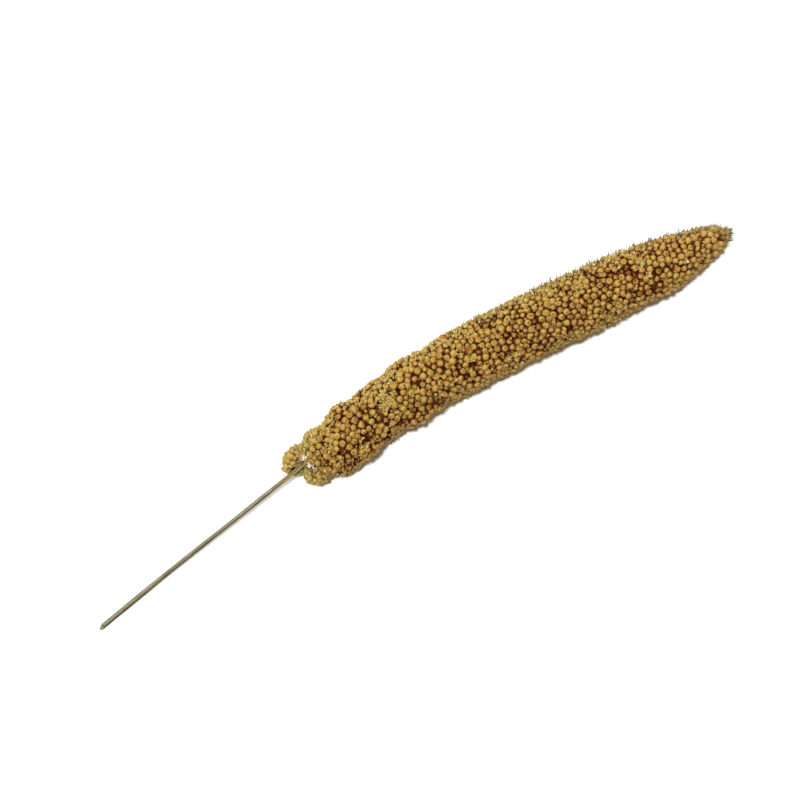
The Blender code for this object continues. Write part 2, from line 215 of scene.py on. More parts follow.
# A body turned about a line, read by the distance m along its outline from the base and by the
# angle a about the line
class Body:
    def __init__(self, line, start, radius):
        self.line = line
        self.clusters = None
        turn = np.linspace(0, math.pi, headForm["tableSteps"])
        self.s = start + (line.end - start) * (1 - np.cos(turn)) / 2
        self.r = radius(self.s)
        step = np.hypot(np.diff(self.s), np.diff(self.r))
        middleR = (self.r[1:] + self.r[:-1]) / 2
        self.m = np.concatenate([[0], np.cumsum(step)])
        self.area = np.concatenate([[0], np.cumsum(fullTurn * middleR * step)])
        slopeS = np.gradient(self.s, self.m)
        slopeR = np.gradient(self.r, self.m)
        self.normalS = -slopeR / np.hypot(slopeS, slopeR)
        self.normalR = slopeS / np.hypot(slopeS, slopeR)

    def table(self, values, m):
        return np.interp(m, self.m, values)

    # Centres of the clusters: a golden-angle spiral with a little jitter
    def raiseClusters(self):
        cell = headForm["clusterPitch"] ** 2 * math.sqrt(3) / 2
        count = int(self.area[-1] / cell)
        draw = np.random.RandomState(headForm["clusterSeed"])
        index = np.arange(count)
        m = np.interp((index + 0.5) * cell, self.area, self.m)
        s = self.table(self.s, m) + draw.normal(0, headForm["clusterJitter"], count)
        turn = draw.normal(0, headForm["clusterJitter"] / headForm["fullRadius"], count)
        self.clusters = np.stack([s, (index * goldenAngle + turn) % fullTurn], -1)

    # Height of the clusters: a dish turned over on each centre, with a crease where two meet
    def clusterHeight(self, s, r, a):
        form = headForm
        turn = nearTurn(a[..., None] - self.clusters[:, 1])
        nearest = np.hypot(s[..., None] - self.clusters[:, 0], r[..., None] * turn).min(-1)
        share = np.clip(nearest / (form["clusterPitch"] * form["clusterReach"]), 0, 1)
        fade = 1 - eased(s, 0, form["creaseFade"])
        depth = between(form["creaseAtTip"], form["creaseAtBase"], fade)
        return depth * (form["clusterTop"] - share**2)

    # The point over the tops of the grains, the bare surface's normal there, and the direction
    # along the surface to the tip. On the head the clusters and flanks raise the tops, and those
    # at the very tip are sunk along the normal.
    def top(self, m, a):
        s = self.table(self.s, m)
        r = self.table(self.r, m)
        normalS = self.table(self.normalS, m)[..., None]
        normalR = self.table(self.normalR, m)[..., None]
        centre, forwards, sideways, up = self.line.frameAt(s)
        out = np.cos(a)[..., None] * sideways + np.sin(a)[..., None] * up
        normal = unit(normalS * forwards + normalR * out)
        raised = sink = np.zeros_like(s)
        if self.clusters is not None:
            sunk, run = headForm["tipSunk"]
            raised = (self.clusterHeight(s, r, a) + flankSwell(s, a, self.line.end)) * normalR[..., 0]
            sink = sunk * eased(s, self.line.end - run, run)
        point = centre + (r + raised)[..., None] * out - sink[..., None] * normal
        return point, normal, unit(normalR * forwards - normalS * out)


axis = Line(
    smoothCurve([place(*knot) for knot in axisLine["knots"]], axisLine["stepsPerSpan"]),
    axisLine["junctionKnot"] * axisLine["stepsPerSpan"],
)
head = Body(axis, headForm["start"], lambda s: headRadius(s, axis.end))
head.raiseClusters()


# Area of a body up to each step of its outline, where a thing counts as the square of its size
def roomOn(body, sizeAt):
    return np.concatenate([[0], np.cumsum(np.diff(body.area) / sizeAt(body.s[1:]) ** 2)])


spreading = {
    "jitter": 0.4,  # of the first places, as a share of their pitch
    "push": 0.45,  # share of an overlap that each of two gives way
    "reach": 1.5,  # how many greatest widths apart two may be and still be watched
    "pairsEvery": 10,  # rounds after which the pairs are found again
}


# Places (m, a) of round things side by side on a body. They start on a golden-angle spiral with
# jitter, and push each other apart wherever two are closer than half the sum of their widths.
def spreadOut(body, widths, draw, rounds, sizeAt):
    count = len(widths)
    index = np.arange(count) + 0.5
    room = roomOn(body, sizeAt)
    pitch = math.sqrt(body.area[-1] / count)
    jitter = spreading["jitter"] * pitch
    m = np.interp(index / count * room[-1], room, body.m) + draw.normal(0, jitter, count)
    a = index * goldenAngle + draw.normal(0, jitter, count) / np.maximum(body.table(body.r, m), pitch)
    reach = spreading["reach"] * widths.max()
    for turn in range(rounds):
        m = np.clip(m, 0, body.m[-1])
        r = body.table(body.r, m)
        spot = np.stack([body.table(body.s, m), r * np.cos(a), r * np.sin(a)], -1)
        if turn % spreading["pairsEvery"] == 0:
            squares = (spot**2).sum(1)
            apart = squares[:, None] + squares - 2 * spot @ spot.T
            one, other = np.nonzero(np.triu(apart < reach**2, 1))
        step = spot[one] - spot[other]
        distance = np.maximum(np.linalg.norm(step, axis=1), 1e-6)
        wide = widths * sizeAt(spot[:, 0])
        overlap = np.maximum((wide[one] + wide[other]) / 2 - distance, 0)
        push = step * (spreading["push"] * overlap / distance)[:, None]
        moved = np.zeros_like(spot)
        np.add.at(moved, one, push)
        np.add.at(moved, other, -push)
        outwards = moved[:, 1] * np.cos(a) + moved[:, 2] * np.sin(a)
        around = moved[:, 2] * np.cos(a) - moved[:, 1] * np.sin(a)
        m = m + moved[:, 0] * body.table(body.normalR, m) - outwards * body.table(body.normalS, m)
        a = a + around / np.maximum(r, 0.5)
    return np.clip(m, 0, body.m[-1]), a % fullTurn


# Meshes. A copy is a tube: a pole, rows of rings, and a pole. Its u runs round and its v along.
def tubeFaces(rows, sides):
    k = np.arange(sides)
    after = (k + 1) % sides
    end = 1 + rows * sides
    v = (np.arange(rows) + 1) / (rows + 1)
    left, right, middle = k / sides, (k + 1) / sides, (k + 0.5) / sides
    zero, one = np.zeros(sides), np.ones(sides)
    row = 1 + np.arange(rows - 1)[:, None] * sides
    quads = np.stack([row + k, row + after, row + sides + after, row + sides + k], -1).reshape(-1, 4)
    lower, upper = np.repeat(v[:-1], sides), np.repeat(v[1:], sides)
    lefts, rights = np.tile(left, rows - 1), np.tile(right, rows - 1)
    quadUv = np.stack([lefts, lower, rights, lower, rights, upper, lefts, upper], -1).reshape(-1, 4, 2)
    first = np.stack([zero.astype(int), 1 + after, 1 + k], -1)
    firstUv = np.stack([middle, zero, right, v[0] * one, left, v[0] * one], -1).reshape(-1, 3, 2)
    last = np.stack([np.full(sides, end), end - sides + k, end - sides + after], -1)
    lastUv = np.stack([middle, one, left, v[-1] * one, right, v[-1] * one], -1).reshape(-1, 3, 2)
    return ((quads, quadUv), (first, firstUv), (last, lastUv))


# A batch of copies: their points (copies, points each, xyz), the faces of one copy, and values for
# each copy or each point that its material reads
def batchOf(points, rows, sides, **values):
    return {"points": points, "faces": tubeFaces(rows, sides), "values": values}


def addObject(name, data):
    made = bpy.data.objects.new(name, data)
    bpy.context.scene.collection.objects.link(made)
    return made


# One object from batches of copies
def makePiece(name, batches, material, node):
    corners, totals, uvs, values = [], [], [], {}
    start = 0
    for batch in batches:
        copies, each = batch["points"].shape[:2]
        shift = start + np.arange(copies) * each
        for faces, uv in batch["faces"]:
            corners.append((faces[None] + shift[:, None, None]).ravel())
            totals.append(np.full(copies * len(faces), faces.shape[1]))
            uvs.append(np.tile(uv.reshape(-1, 2), (copies, 1)))
        for key, value in batch["values"].items():
            value = np.asarray(value, float)
            spread = value if value.ndim == 2 else np.repeat(value[:, None], each, 1)
            values.setdefault(key, []).append(spread.ravel())
        start += copies * each
    points = np.concatenate([batch["points"].reshape(-1, 3) for batch in batches])
    points = np.clip(points, leastCorner, mostCorner)
    corners, totals = np.concatenate(corners), np.concatenate(totals)
    mesh = bpy.data.meshes.new(name)
    mesh.vertices.add(len(points))
    mesh.vertices.foreach_set("co", (points * mm).ravel())
    mesh.loops.add(len(corners))
    mesh.loops.foreach_set("vertex_index", corners.astype(np.int32))
    mesh.polygons.add(len(totals))
    mesh.polygons.foreach_set("loop_start", (np.cumsum(totals) - totals).astype(np.int32))
    mesh.polygons.foreach_set("use_smooth", np.ones(len(totals), bool))
    mesh.update(calc_edges=True)
    mesh.uv_layers.new(name="skin").data.foreach_set("uv", np.concatenate(uvs).ravel())
    for key, parts in values.items():
        mesh.attributes.new(key, "FLOAT", "POINT").data.foreach_set("value", np.concatenate(parts))
    if mesh.validate():
        raise ValueError(f"{name} has faulty faces")
    mesh.materials.append(material)
    piece = addObject(name, mesh)
    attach(piece, "root")
    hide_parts(node)
    print(name, "triangles", int((totals - 2).sum()))


# Two unit vectors square to each axis, turned about it by the twist
def acrossFrom(along, twist):
    steep = np.abs(along[:, 2:]) > 0.9
    guide = np.where(steep, [[1.0, 0.0, 0.0]], [[0.0, 0.0, 1.0]])
    one = unit(np.cross(guide, along))
    other = np.cross(along, one)
    c, s = np.cos(twist)[:, None], np.sin(twist)[:, None]
    return c * one + s * other, c * other - s * one


# The points of tubes: a pole, the rings and the other pole
def closedTubes(first, rings, last):
    return np.concatenate([first[:, None], rings.reshape(len(first), -1, 3), last[:, None]], 1)


# Rings round the centres, at x, y and z along three axes of each copy
def ringsRound(centre, axes, x, y, z):
    rings = centre[:, None, None]
    for amount, way in zip((x, y, z), axes):
        rings = rings + amount[..., None] * way[:, None, None]
    return rings


grainShape = {
    "plumpness": 0.8,  # power of the sine that is a ring's radius
    "flatSide": 0.13,
    "furrowWidth": 0.5,
    "beakPower": 7,
    "leastCorners": 4,
}


# Grains: plump eggs whose ring at the turn t from the base has radius (sin t)^0.8 and lies at -cos t
# along the axis. The apex is drawn out to a beak or sinks into a dimple, and one side is flatter,
# with a groove up its middle. The ring is pressed by its neighbours into four to six soft corners.
def grainPoints(centre, along, twist, width, length, beak, groove, press, rows, sides):
    form = grainShape
    t = math.pi * (np.arange(rows) + 1) / (rows + 1)
    a = ringAngles(sides)
    one, other = acrossFrom(along, twist)
    corners = form["leastCorners"] + np.arange(len(centre))[:, None] % 3
    pressed = press[:, None] * np.cos(corners * a + 5 * twist[:, None])
    flat = 1 - form["flatSide"] * np.maximum(-np.cos(a), 0)
    furrow = np.exp(-((np.abs(a - math.pi) / form["furrowWidth"]) ** 2))
    ring = flat - groove[:, None] * furrow + pressed
    radius = np.sin(t)[None, :, None] ** form["plumpness"] * ring[:, None]
    rise = -np.cos(t)[None] + beak[:, None] * ((1 - np.cos(t)) / 2)[None] ** form["beakPower"]
    reach = width[:, None, None] / 2 * radius
    height = (length[:, None] / 2 * rise)[:, :, None]
    rings = ringsRound(centre, (one, other, along), reach * np.cos(a), reach * np.sin(a), height)
    base = centre - length[:, None] / 2 * along
    apex = centre + (length * (1 + beak))[:, None] / 2 * along
    return closedTubes(base, rings, apex)


# Scales: thin closed leaves. At the share t of its length a scale lies along its axis, curls away
# by curl t squared, and is sin(pi t^0.75) wide, cupped by the square of the distance from its middle.
def scalePoints(base, along, facing, width, length, curl, cup, rows, sides, thickness):
    t = (np.arange(rows) + 1) / (rows + 1)
    a = ringAngles(sides)
    facing = unit(facing - (facing * along).sum(-1, keepdims=True) * along)
    across = np.cross(along, facing)
    spine = (
        base[:, None]
        + (length[:, None] * t)[..., None] * along[:, None]
        + (length[:, None] * curl[:, None] * t**2)[..., None] * facing[:, None]
    )
    half = (width[:, None] / 2 * np.sin(math.pi * t**0.75) ** 0.8)[:, :, None]
    side = half * np.cos(a)
    lift = thickness / 2 * np.sin(a) * (half > 0) - cup[:, None, None] * side**2 / half.max()
    rings = spine[:, :, None] + side[..., None] * across[:, None, None]
    rings = rings + lift[..., None] * facing[:, None, None]
    tip = base + length[:, None] * along + (length * curl)[:, None] * facing
    return closedTubes(base, rings, tip)


# Glumes: scales wrapped on a grain. At the share t a glume is on the ring at the height
# -0.92 + reach t, outside the grain by a gap that grows with t, and covers an angle that narrows
# to its point.
def glumePoints(centre, along, twist, width, length, turn, reach, spread, rows, sides, thickness):
    t = (np.arange(rows) + 1) / (rows + 1)
    axes = (*acrossFrom(along, twist), along)
    width, length, turn, reach, spread = (
        each[:, None, None] for each in (width, length, turn, reach, spread)
    )

    def ringAt(t, swing, lift):
        height = -0.92 + reach * t
        outside = np.sqrt(np.maximum(1 - height**2, 0.02)) * 1.05 + 0.13 * t**2
        radius = width / 2 * outside + lift
        angle = turn + swing
        x, y, z = radius * np.cos(angle), radius * np.sin(angle), length / 2 * height
        return ringsRound(centre, axes, x, y, z)

    a = ringAngles(sides)
    swing = spread * (np.sin(math.pi * t**0.7) ** 0.7)[None, :, None] * np.cos(a)
    rings = ringAt(t[None, :, None], swing, thickness / 2 * np.sin(a))
    first, last = (ringAt(np.full((1, 1, 1), end), 0 * turn, 0)[:, 0, 0] for end in (0.0, 1.0))
    return closedTubes(first, rings, last)


# Strands: tapering rods along a curve that starts at one point, is pulled towards a second and ends
# at a third, (1-t)^2 of the first, 2t(1-t) of the second and t^2 of the third
def strandPoints(first, second, third, startRadius, endRadius, rows, sides):
    t = (np.arange(rows) / (rows - 1))[None, :, None]
    a = ringAngles(sides)
    first, second, third = first[:, None], second[:, None], third[:, None]
    spine = (1 - t) ** 2 * first + 2 * t * (1 - t) * second + t**2 * third
    along = unit((third - first)[:, 0])
    one, other = acrossFrom(along, np.zeros(len(along)))
    radius = between(startRadius, endRadius, t)
    ring = np.cos(a)[:, None] * one[:, None] + np.sin(a)[:, None] * other[:, None]
    rings = spine[:, :, None] + radius[..., None] * ring[:, None]
    bulge = np.array([-1, 1])[None, :, None] * radius[:, [0, -1]] * 0.4 * along[:, None]
    ends = spine[:, [0, -1]] + bulge
    return closedTubes(ends[:, 0], rings, ends[:, 1])


# Lift whole copies that dip below the surface they lie on
def liftedToFloor(points):
    dip = np.maximum(-points[..., 2].min(1), 0)
    points[..., 2] += dip[:, None]
    return points


# Materials

def addNode(tree, kind, **settings):
    node = tree.nodes.new(kind)
    for key, value in settings.items():
        setattr(node, key, value)
    return node


# Link a socket to an output, or set its value
def feed(tree, socket, value):
    if isinstance(value, bpy.types.NodeSocket):
        tree.links.new(value, socket)
    elif value is not None:
        socket.default_value = value


def addMath(tree, operation, first, second=None, third=None):
    node = addNode(tree, "ShaderNodeMath", operation=operation)
    for socket, value in zip(node.inputs, (first, second, third)):
        feed(tree, socket, value)
    return node.outputs[0]


def addMix(tree, blend, factor, first, second):
    node = addNode(tree, "ShaderNodeMix", data_type="RGBA", blend_type=blend)
    sockets = {socket.identifier: socket for socket in node.inputs}
    feed(tree, sockets["Factor_Float"], factor)
    feed(tree, sockets["A_Color"], first)
    feed(tree, sockets["B_Color"], (*second, 1))
    return next(s for s in node.outputs if s.identifier == "Result_Color")


# Layers of colour: each blends its tint in by its mask times its share
def addLayers(tree, colour, masks, layers):
    for name, blend, share, tint in layers:
        colour = addMix(tree, blend, addMath(tree, "MULTIPLY", masks[name], share), colour, tint)
    return colour


def addRange(tree, value, low, high, toLow=0.0, toHigh=1.0):
    node = addNode(tree, "ShaderNodeMapRange", interpolation_type="SMOOTHSTEP")
    names = ("Value", "From Min", "From Max", "To Min", "To Max")
    for name, number in zip(names, (value, low, high, toLow, toHigh)):
        feed(tree, node.inputs[name], number)
    return node.outputs["Result"]


def addRamp(tree, value, stops):
    node = addNode(tree, "ShaderNodeValToRGB")
    ramp = node.color_ramp
    while len(ramp.elements) < len(stops):
        ramp.elements.new(0.5)
    for element, (at, colour) in zip(ramp.elements, stops):
        element.position = at
        element.color = (*colour, 1)
    tree.links.new(value, node.inputs["Fac"])
    return node.outputs["Color"]


def addAttribute(tree, name):
    return addNode(tree, "ShaderNodeAttribute", attribute_name=name).outputs["Fac"]


def newGroup(name, inputs, outputs):
    group = bpy.data.node_groups.new(name, "ShaderNodeTree")
    for label, kind, value in inputs:
        socket = group.interface.new_socket(label, in_out="INPUT", socket_type=kind)
        if value is not None:
            socket.default_value = value
    for label in outputs:
        group.interface.new_socket(label, in_out="OUTPUT", socket_type="NodeSocketFloat")
    entry = addNode(group, "NodeGroupInput").outputs
    exits = addNode(group, "NodeGroupOutput").inputs
    return group, entry, exits


def placeGroup(tree, group, **values):
    node = addNode(tree, "ShaderNodeGroup", node_tree=group)
    for label, value in values.items():
        feed(tree, node.inputs[label.capitalize()], value)
    return node.outputs


vectorKind, numberKind = "NodeSocketVector", "NodeSocketFloat"


# Blotches and specks: two sizes of noise over the object, each from 0 to 1
def makeMottle():
    sockets = [("Place", vectorKind, None), ("Blotch", numberKind, 900.0), ("Speck", numberKind, 5200.0)]
    group, entry, exits = newGroup("mottle", sockets, ["Blotches", "Specks"])
    for size, label in (("Blotch", "Blotches"), ("Speck", "Specks")):
        noise = addNode(group, "ShaderNodeTexNoise", noise_dimensions="3D")
        for name, value in (("Vector", entry["Place"]), ("Scale", entry[size]), ("Detail", 2.0)):
            feed(group, noise.inputs[name], value)
        feed(group, exits[label], addRange(group, noise.outputs["Fac"], 0.32, 0.68))
    return group


# Fibres: noise on u and v, drawn out along v
def makeFibre():
    sockets = [("Skin", vectorKind, None), ("Round", numberKind, 30.0), ("Along", numberKind, 3.0)]
    group, entry, exits = newGroup("fibre", sockets, ["Fibres"])
    split = addNode(group, "ShaderNodeSeparateXYZ")
    joined = addNode(group, "ShaderNodeCombineXYZ")
    feed(group, split.inputs[0], entry["Skin"])
    turn = addMath(group, "MULTIPLY", split.outputs["X"], fullTurn)
    sine, cosine = (addMath(group, name, turn) for name in ("SINE", "COSINE"))
    ways = (("X", sine, "Round"), ("Y", cosine, "Round"), ("Z", split.outputs["Y"], "Along"))
    for name, value, scale in ways:
        feed(group, joined.inputs[name], addMath(group, "MULTIPLY", value, entry[scale]))
    noise = addNode(group, "ShaderNodeTexNoise", noise_dimensions="3D")
    for name, value in (("Vector", joined.outputs[0]), ("Scale", 1.0), ("Detail", 3.0)):
        feed(group, noise.inputs[name], value)
    feed(group, exits["Fibres"], addRange(group, noise.outputs["Fac"], 0.3, 0.7))
    return group


mottle = makeMottle()
fibre = makeFibre()


def startMaterial(name):
    material = bpy.data.materials.new(name)
    material.use_nodes = True
    return material, material.node_tree, material.node_tree.nodes["Principled BSDF"]


def addMottle(tree, blotch, speck):
    objectPlace = addNode(tree, "ShaderNodeTexCoord").outputs["Object"]
    return placeGroup(tree, mottle, place=objectPlace, blotch=blotch, speck=speck)


# The piece's own UV map, and its u and v
def addSkin(tree):
    skin = addNode(tree, "ShaderNodeUVMap", uv_map="skin").outputs["UV"]
    split = addNode(tree, "ShaderNodeSeparateXYZ")
    feed(tree, split.inputs[0], skin)
    return skin, split.outputs["X"], split.outputs["Y"]


# Colour, roughness and a bump into the shader
def finishMaterial(tree, shader, colour, rough, height, strength, distance):
    bump = addNode(tree, "ShaderNodeBump")
    for name, value in (("Height", height), ("Strength", strength), ("Distance", distance)):
        feed(tree, bump.inputs[name], value)
    normal = bump.outputs["Normal"]
    for name, value in (("Base Color", colour), ("Roughness", rough), ("Normal", normal)):
        feed(tree, shader.inputs[name], value)


# Hulls of the grains: each has a tone of its own, from rusty ochre to straw green. It is rusty at the
# foot, and darker there as painted shade, with a painted highlight in a pale rim round the top, darker
# at its centre, with a fine seam up each side and a small dark point on some. What lies deep between the
# grains turns dark red as painted shade.
hullLook = {
    "tones": (
        (0.0, (0.284, 0.144, 0.032)),
        (0.25, (0.344, 0.192, 0.034)),
        (0.5, (0.372, 0.224, 0.036)),
        (0.75, (0.361, 0.249, 0.038)),
        (1.0, (0.283, 0.242, 0.054)),
    ),
    "layers": (  # in order: the mask, how it blends, its share and its tint
        ("blotch", "MULTIPLY", 0.30, (0.80, 0.62, 0.45)),
        ("speck", "MULTIPLY", 0.30, (0.62, 0.45, 0.30)),
        # rusty at the foot, and darker there as painted shade where the neighbours cover it
        ("foot", "MULTIPLY", 1.0, (0.52, 0.255, 0.055)),
        # painted highlight: a pale ring round the top of each grain
        ("rim", "MIX", 0.32, (0.468, 0.335, 0.172)),
        ("centre", "MULTIPLY", 1.0, (0.76, 0.72, 0.46)),
        ("seam", "MULTIPLY", 0.45, (0.45, 0.28, 0.16)),
        ("point", "MULTIPLY", 0.8, (0.30, 0.17, 0.10)),
        # painted shade: dark red over what lies deep between the grains
        ("deep", "MULTIPLY", 1.0, (0.175, 0.036, 0.0)),
    ),
    "mottle": (900.0, 2600.0),
    "foot": (0.55, 0.25),  # v where a mask starts and where it is full
    "rim": ((0.52, 0.72), (0.88, 0.8)),
    "centre": (0.84, 0.96),
    "point": (0.90, 0.975),
    "seamAt": 0.19,  # a seam's distance in u from the middle of the groove
    "seamEdge": (0.035, 0.005),
    "pointed": (137.3, 0.6),  # scatters the tones, and the least that has a point
    "paintedShadeFrom": (0.27, 0.90),  # depth below the tops where the dark red painted shade sets in and is full
    "roughness": (0.38, 0.55),
    "specular": 0.15,
    "sheen": (1.0, 0.80, 0.50),
}


def makeHull():
    look = hullLook
    material, tree, shader = startMaterial("millet_hull")
    spots = addMottle(tree, *look["mottle"])
    _, u, v = addSkin(tree)
    tone = addAttribute(tree, "tone")
    scatter, least = look["pointed"]
    scattered = addMath(tree, "FRACT", addMath(tree, "MULTIPLY", tone, scatter))
    pointed = addMath(tree, "GREATER_THAN", scattered, least)
    side = addMath(tree, "ABSOLUTE", addMath(tree, "SUBTRACT", u, 0.5))
    seamGap = addMath(tree, "ABSOLUTE", addMath(tree, "SUBTRACT", side, look["seamAt"]))
    masks = {
        "blotch": spots["Blotches"],
        "speck": spots["Specks"],
        "foot": addRange(tree, v, *look["foot"]),
        "rim": addMath(tree, "MULTIPLY", *(addRange(tree, v, *edge) for edge in look["rim"])),
        "centre": addRange(tree, v, *look["centre"]),
        "seam": addRange(tree, seamGap, *look["seamEdge"]),
        "point": addMath(tree, "MULTIPLY", addRange(tree, v, *look["point"]), pointed),
        "deep": addRange(tree, addAttribute(tree, "depth"), *look["paintedShadeFrom"]),
    }
    colour = addLayers(tree, addRamp(tree, tone, look["tones"]), masks, look["layers"])
    rough = addRange(tree, spots["Blotches"], 0.0, 1.0, *look["roughness"])
    height = addMath(tree, "SUBTRACT", addMath(tree, "MULTIPLY", spots["Specks"], 0.9), masks["seam"])
    finishMaterial(tree, shader, colour, rough, height, 0.6, 0.00012)
    shader.inputs["Specular IOR Level"].default_value = look["specular"]
    shader.inputs["Specular Tint"].default_value = (*look["sheen"], 1)
    return material


# Papery husks and glumes, with veins along them, darker towards the foot as painted shade
huskLook = {
    "tones": (
        (0.0, (0.261, 0.126, 0.031)),
        (0.35, (0.400, 0.239, 0.054)),
        (0.6, (0.444, 0.316, 0.070)),
        (0.8, (0.440, 0.362, 0.120)),
        (0.92, (0.555, 0.480, 0.260)),
        (1.0, (0.748, 0.722, 0.644)),
    ),
    "layers": (
        ("vein", "MULTIPLY", 0.4, (0.62, 0.55, 0.38)),
        ("blotch", "MULTIPLY", 0.3, (0.72, 0.6, 0.42)),
        # painted shade towards the foot of each scale, where it goes down between the grains
        ("foot", "MULTIPLY", 1.0, (0.42, 0.20, 0.08)),
    ),
    "mottle": (700.0, 4000.0),
    "veins": (1.6, 0.8),
    "foot": (0.55, 0.05),
    "roughness": (0.5, 0.7),
    "specular": 0.22,
}


def makeHusk():
    look = huskLook
    material, tree, shader = startMaterial("millet_husk")
    spots = addMottle(tree, *look["mottle"])
    skin, _, v = addSkin(tree)
    across, along = look["veins"]
    veins = placeGroup(tree, fibre, skin=skin, round=across, along=along)["Fibres"]
    masks = {"vein": veins, "blotch": spots["Blotches"], "foot": addRange(tree, v, *look["foot"])}
    base = addRamp(tree, addAttribute(tree, "tone"), look["tones"])
    colour = addLayers(tree, base, masks, look["layers"])
    rough = addRange(tree, spots["Specks"], 0.0, 1.0, *look["roughness"])
    finishMaterial(tree, shader, colour, rough, veins, 0.4, 0.00005)
    shader.inputs["Specular IOR Level"].default_value = look["specular"]
    return material


# Dry straw: long fibres, dark in the furrows and pale on the ridges. The stalk's is olive, warmer where
# it nears the head and grey at the cut, with painted light and shade round it from its tone.
strawLooks = {
    "stalk_straw": {
        "fibres": (5.0, 22.0),
        "tones": (
            (0.0, (0.038, 0.031, 0.011)),
            (0.3, (0.097, 0.084, 0.037)),
            (0.65, (0.213, 0.193, 0.109)),
            (1.0, (0.400, 0.365, 0.244)),
        ),
        "shade": (0.72, 0.70, 0.55),
    },
    "branchlet_straw": {
        "fibres": (1.2, 2.0),
        "tones": (
            (0.0, (0.217, 0.131, 0.052)),
            (0.5, (0.383, 0.261, 0.113)),
            (1.0, (0.505, 0.392, 0.191)),
        ),
        "shade": (0.84, 0.66, 0.50),
    },
    "bristle_straw": {
        "fibres": (0.6, 1.0),
        "tones": (
            (0.0, (0.030, 0.022, 0.007)),
            (0.5, (0.083, 0.064, 0.019)),
            (1.0, (0.217, 0.174, 0.057)),
        ),
        "shade": (0.8, 0.8, 0.7),
    },
}


def makeStraw(name):
    look = strawLooks[name]
    material, tree, shader = startMaterial(name)
    spots = addMottle(tree, 160.0, 2600.0)
    across, along = look["fibres"]
    skin = addSkin(tree)[0]
    fibres = placeGroup(tree, fibre, skin=skin, round=across, along=along)["Fibres"]
    tone = addAttribute(tree, "tone")
    mixed = addMath(tree, "MULTIPLY_ADD", fibres, 0.36, addMath(tree, "MULTIPLY", tone, 0.68))
    masks = {
        "blotch": spots["Blotches"],
        "speck": spots["Specks"],
        "warm": addAttribute(tree, "warm"),
        "cut": addRange(tree, tone, 1.05, 1.3),
    }
    layers = (
        ("blotch", "MULTIPLY", 0.5, look["shade"]),
        ("speck", "MULTIPLY", 0.42, (0.55, 0.45, 0.34)),
        ("warm", "MULTIPLY", 1.0, (1.0, 0.87, 0.50)),
        ("cut", "MIX", 1.0, (0.148, 0.157, 0.135)),
    )
    colour = addLayers(tree, addRamp(tree, mixed, look["tones"]), masks, layers)
    rough = addRange(tree, fibres, 0.0, 1.0, 0.62, 0.42)
    finishMaterial(tree, shader, colour, rough, fibres, 0.5, 0.00005)
    return material


# Near-black red-brown of the heart, with blotches and specks: painted shade for the gaps between the
# grains
def makeHeartShade():
    material, tree, shader = startMaterial("heart_painted_shade")
    spots = addMottle(tree, 600.0, 2500.0)
    tones = ((0.0, (0.030, 0.010, 0.003)), (1.0, (0.074, 0.026, 0.009)))
    base = addRamp(tree, spots["Blotches"], tones)
    layers = (("speck", "MULTIPLY", 0.5, (0.5, 0.4, 0.3)),)
    colour = addLayers(tree, base, {"speck": spots["Specks"]}, layers)
    finishMaterial(tree, shader, colour, 0.8, spots["Specks"], 0.6, 0.0002)
    return material


hull = makeHull()
husk = makeHusk()
heart = makeHeartShade()
straw, twig, bristleStraw = (makeStraw(name) for name in strawLooks)
print("materials ready")


# Heart of the head: the inner body, near black as painted shade, which shows between the grains where
# they part
heartForm = {
    "depth": 1.75,
    "rows": 150,
    "sides": 40,
    "from": 5.0,
    "to": 1.2,
    "ripple": 0.25,
    "capRows": 9,
    "leastHeight": 0.3,
}


# A copy of the tops at a depth that ripples, drawn in to the axis at both ends
def makeHeart():
    form = heartForm
    m = np.interp(np.linspace(form["from"], head.s[-1] - form["to"], form["rows"]), head.s, head.m)
    gridM, gridA = np.meshgrid(m, ringAngles(form["sides"]), indexing="ij")
    top, normal, _ = head.top(gridM, gridA)
    ripple = form["ripple"] * np.sin(5 * gridA + gridM * 1.7) * np.cos(gridM * 2.3 - 3 * gridA)
    inner = top - (form["depth"] + ripple)[..., None] * normal
    centre = axis.at(head.table(head.s, m))
    row = np.arange(len(m))
    taper = eased(np.minimum(row + 1, row[::-1] + 1), 0, form["capRows"])[:, None, None]
    points = closedTubes(centre[:1], centre[:, None] + (inner - centre[:, None]) * taper, centre[-1:])
    points[..., 2] = np.maximum(points[..., 2], form["leastHeight"])
    batch = batchOf(points, len(m), form["sides"], tone=[0.5])
    makePiece("heart_painted_shade", [batch], heart, "seed_head")


makeHeart()


# See-through gaps between the stalk's end and the clusters: places on the knots' measure, radius
baseGaps = ((68.4, 9.05, 0.55), (69.1, 5.95, 0.6))

# Places on the head where husks have opened: s, degrees round from +Y over the top, and a radius
openPatches = (
    (28.2, 75, 2.8),
    (16.8, 121, 1.6),
    (31.4, 48, 1.6),
    (52.0, 100, 1.1),
    (24.0, 155, 1.3),
    (44.0, 250, 1.6),
    (70.0, 20, 1.2),
    (88.0, 140, 1.1),
    (20.0, 290, 1.8),
    (61.0, 330, 1.4),
)


def clearOfGaps(spots, margin):
    free = np.ones(len(spots), bool)
    for x, y, radius in baseGaps:
        middle = place(x, y, 0)[:2]
        free &= np.linalg.norm(spots[:, :2] - middle, axis=1) > radius + margin
    return free


patchGirth = 7.5  # radius by which an angle counts as a distance over a patch


def nearPatch(s, a):
    inside = np.zeros(len(s), bool)
    for patchS, degrees, radius in openPatches:
        inside |= np.hypot(s - patchS, patchGirth * nearTurn(a - math.radians(degrees))) < radius
    return inside


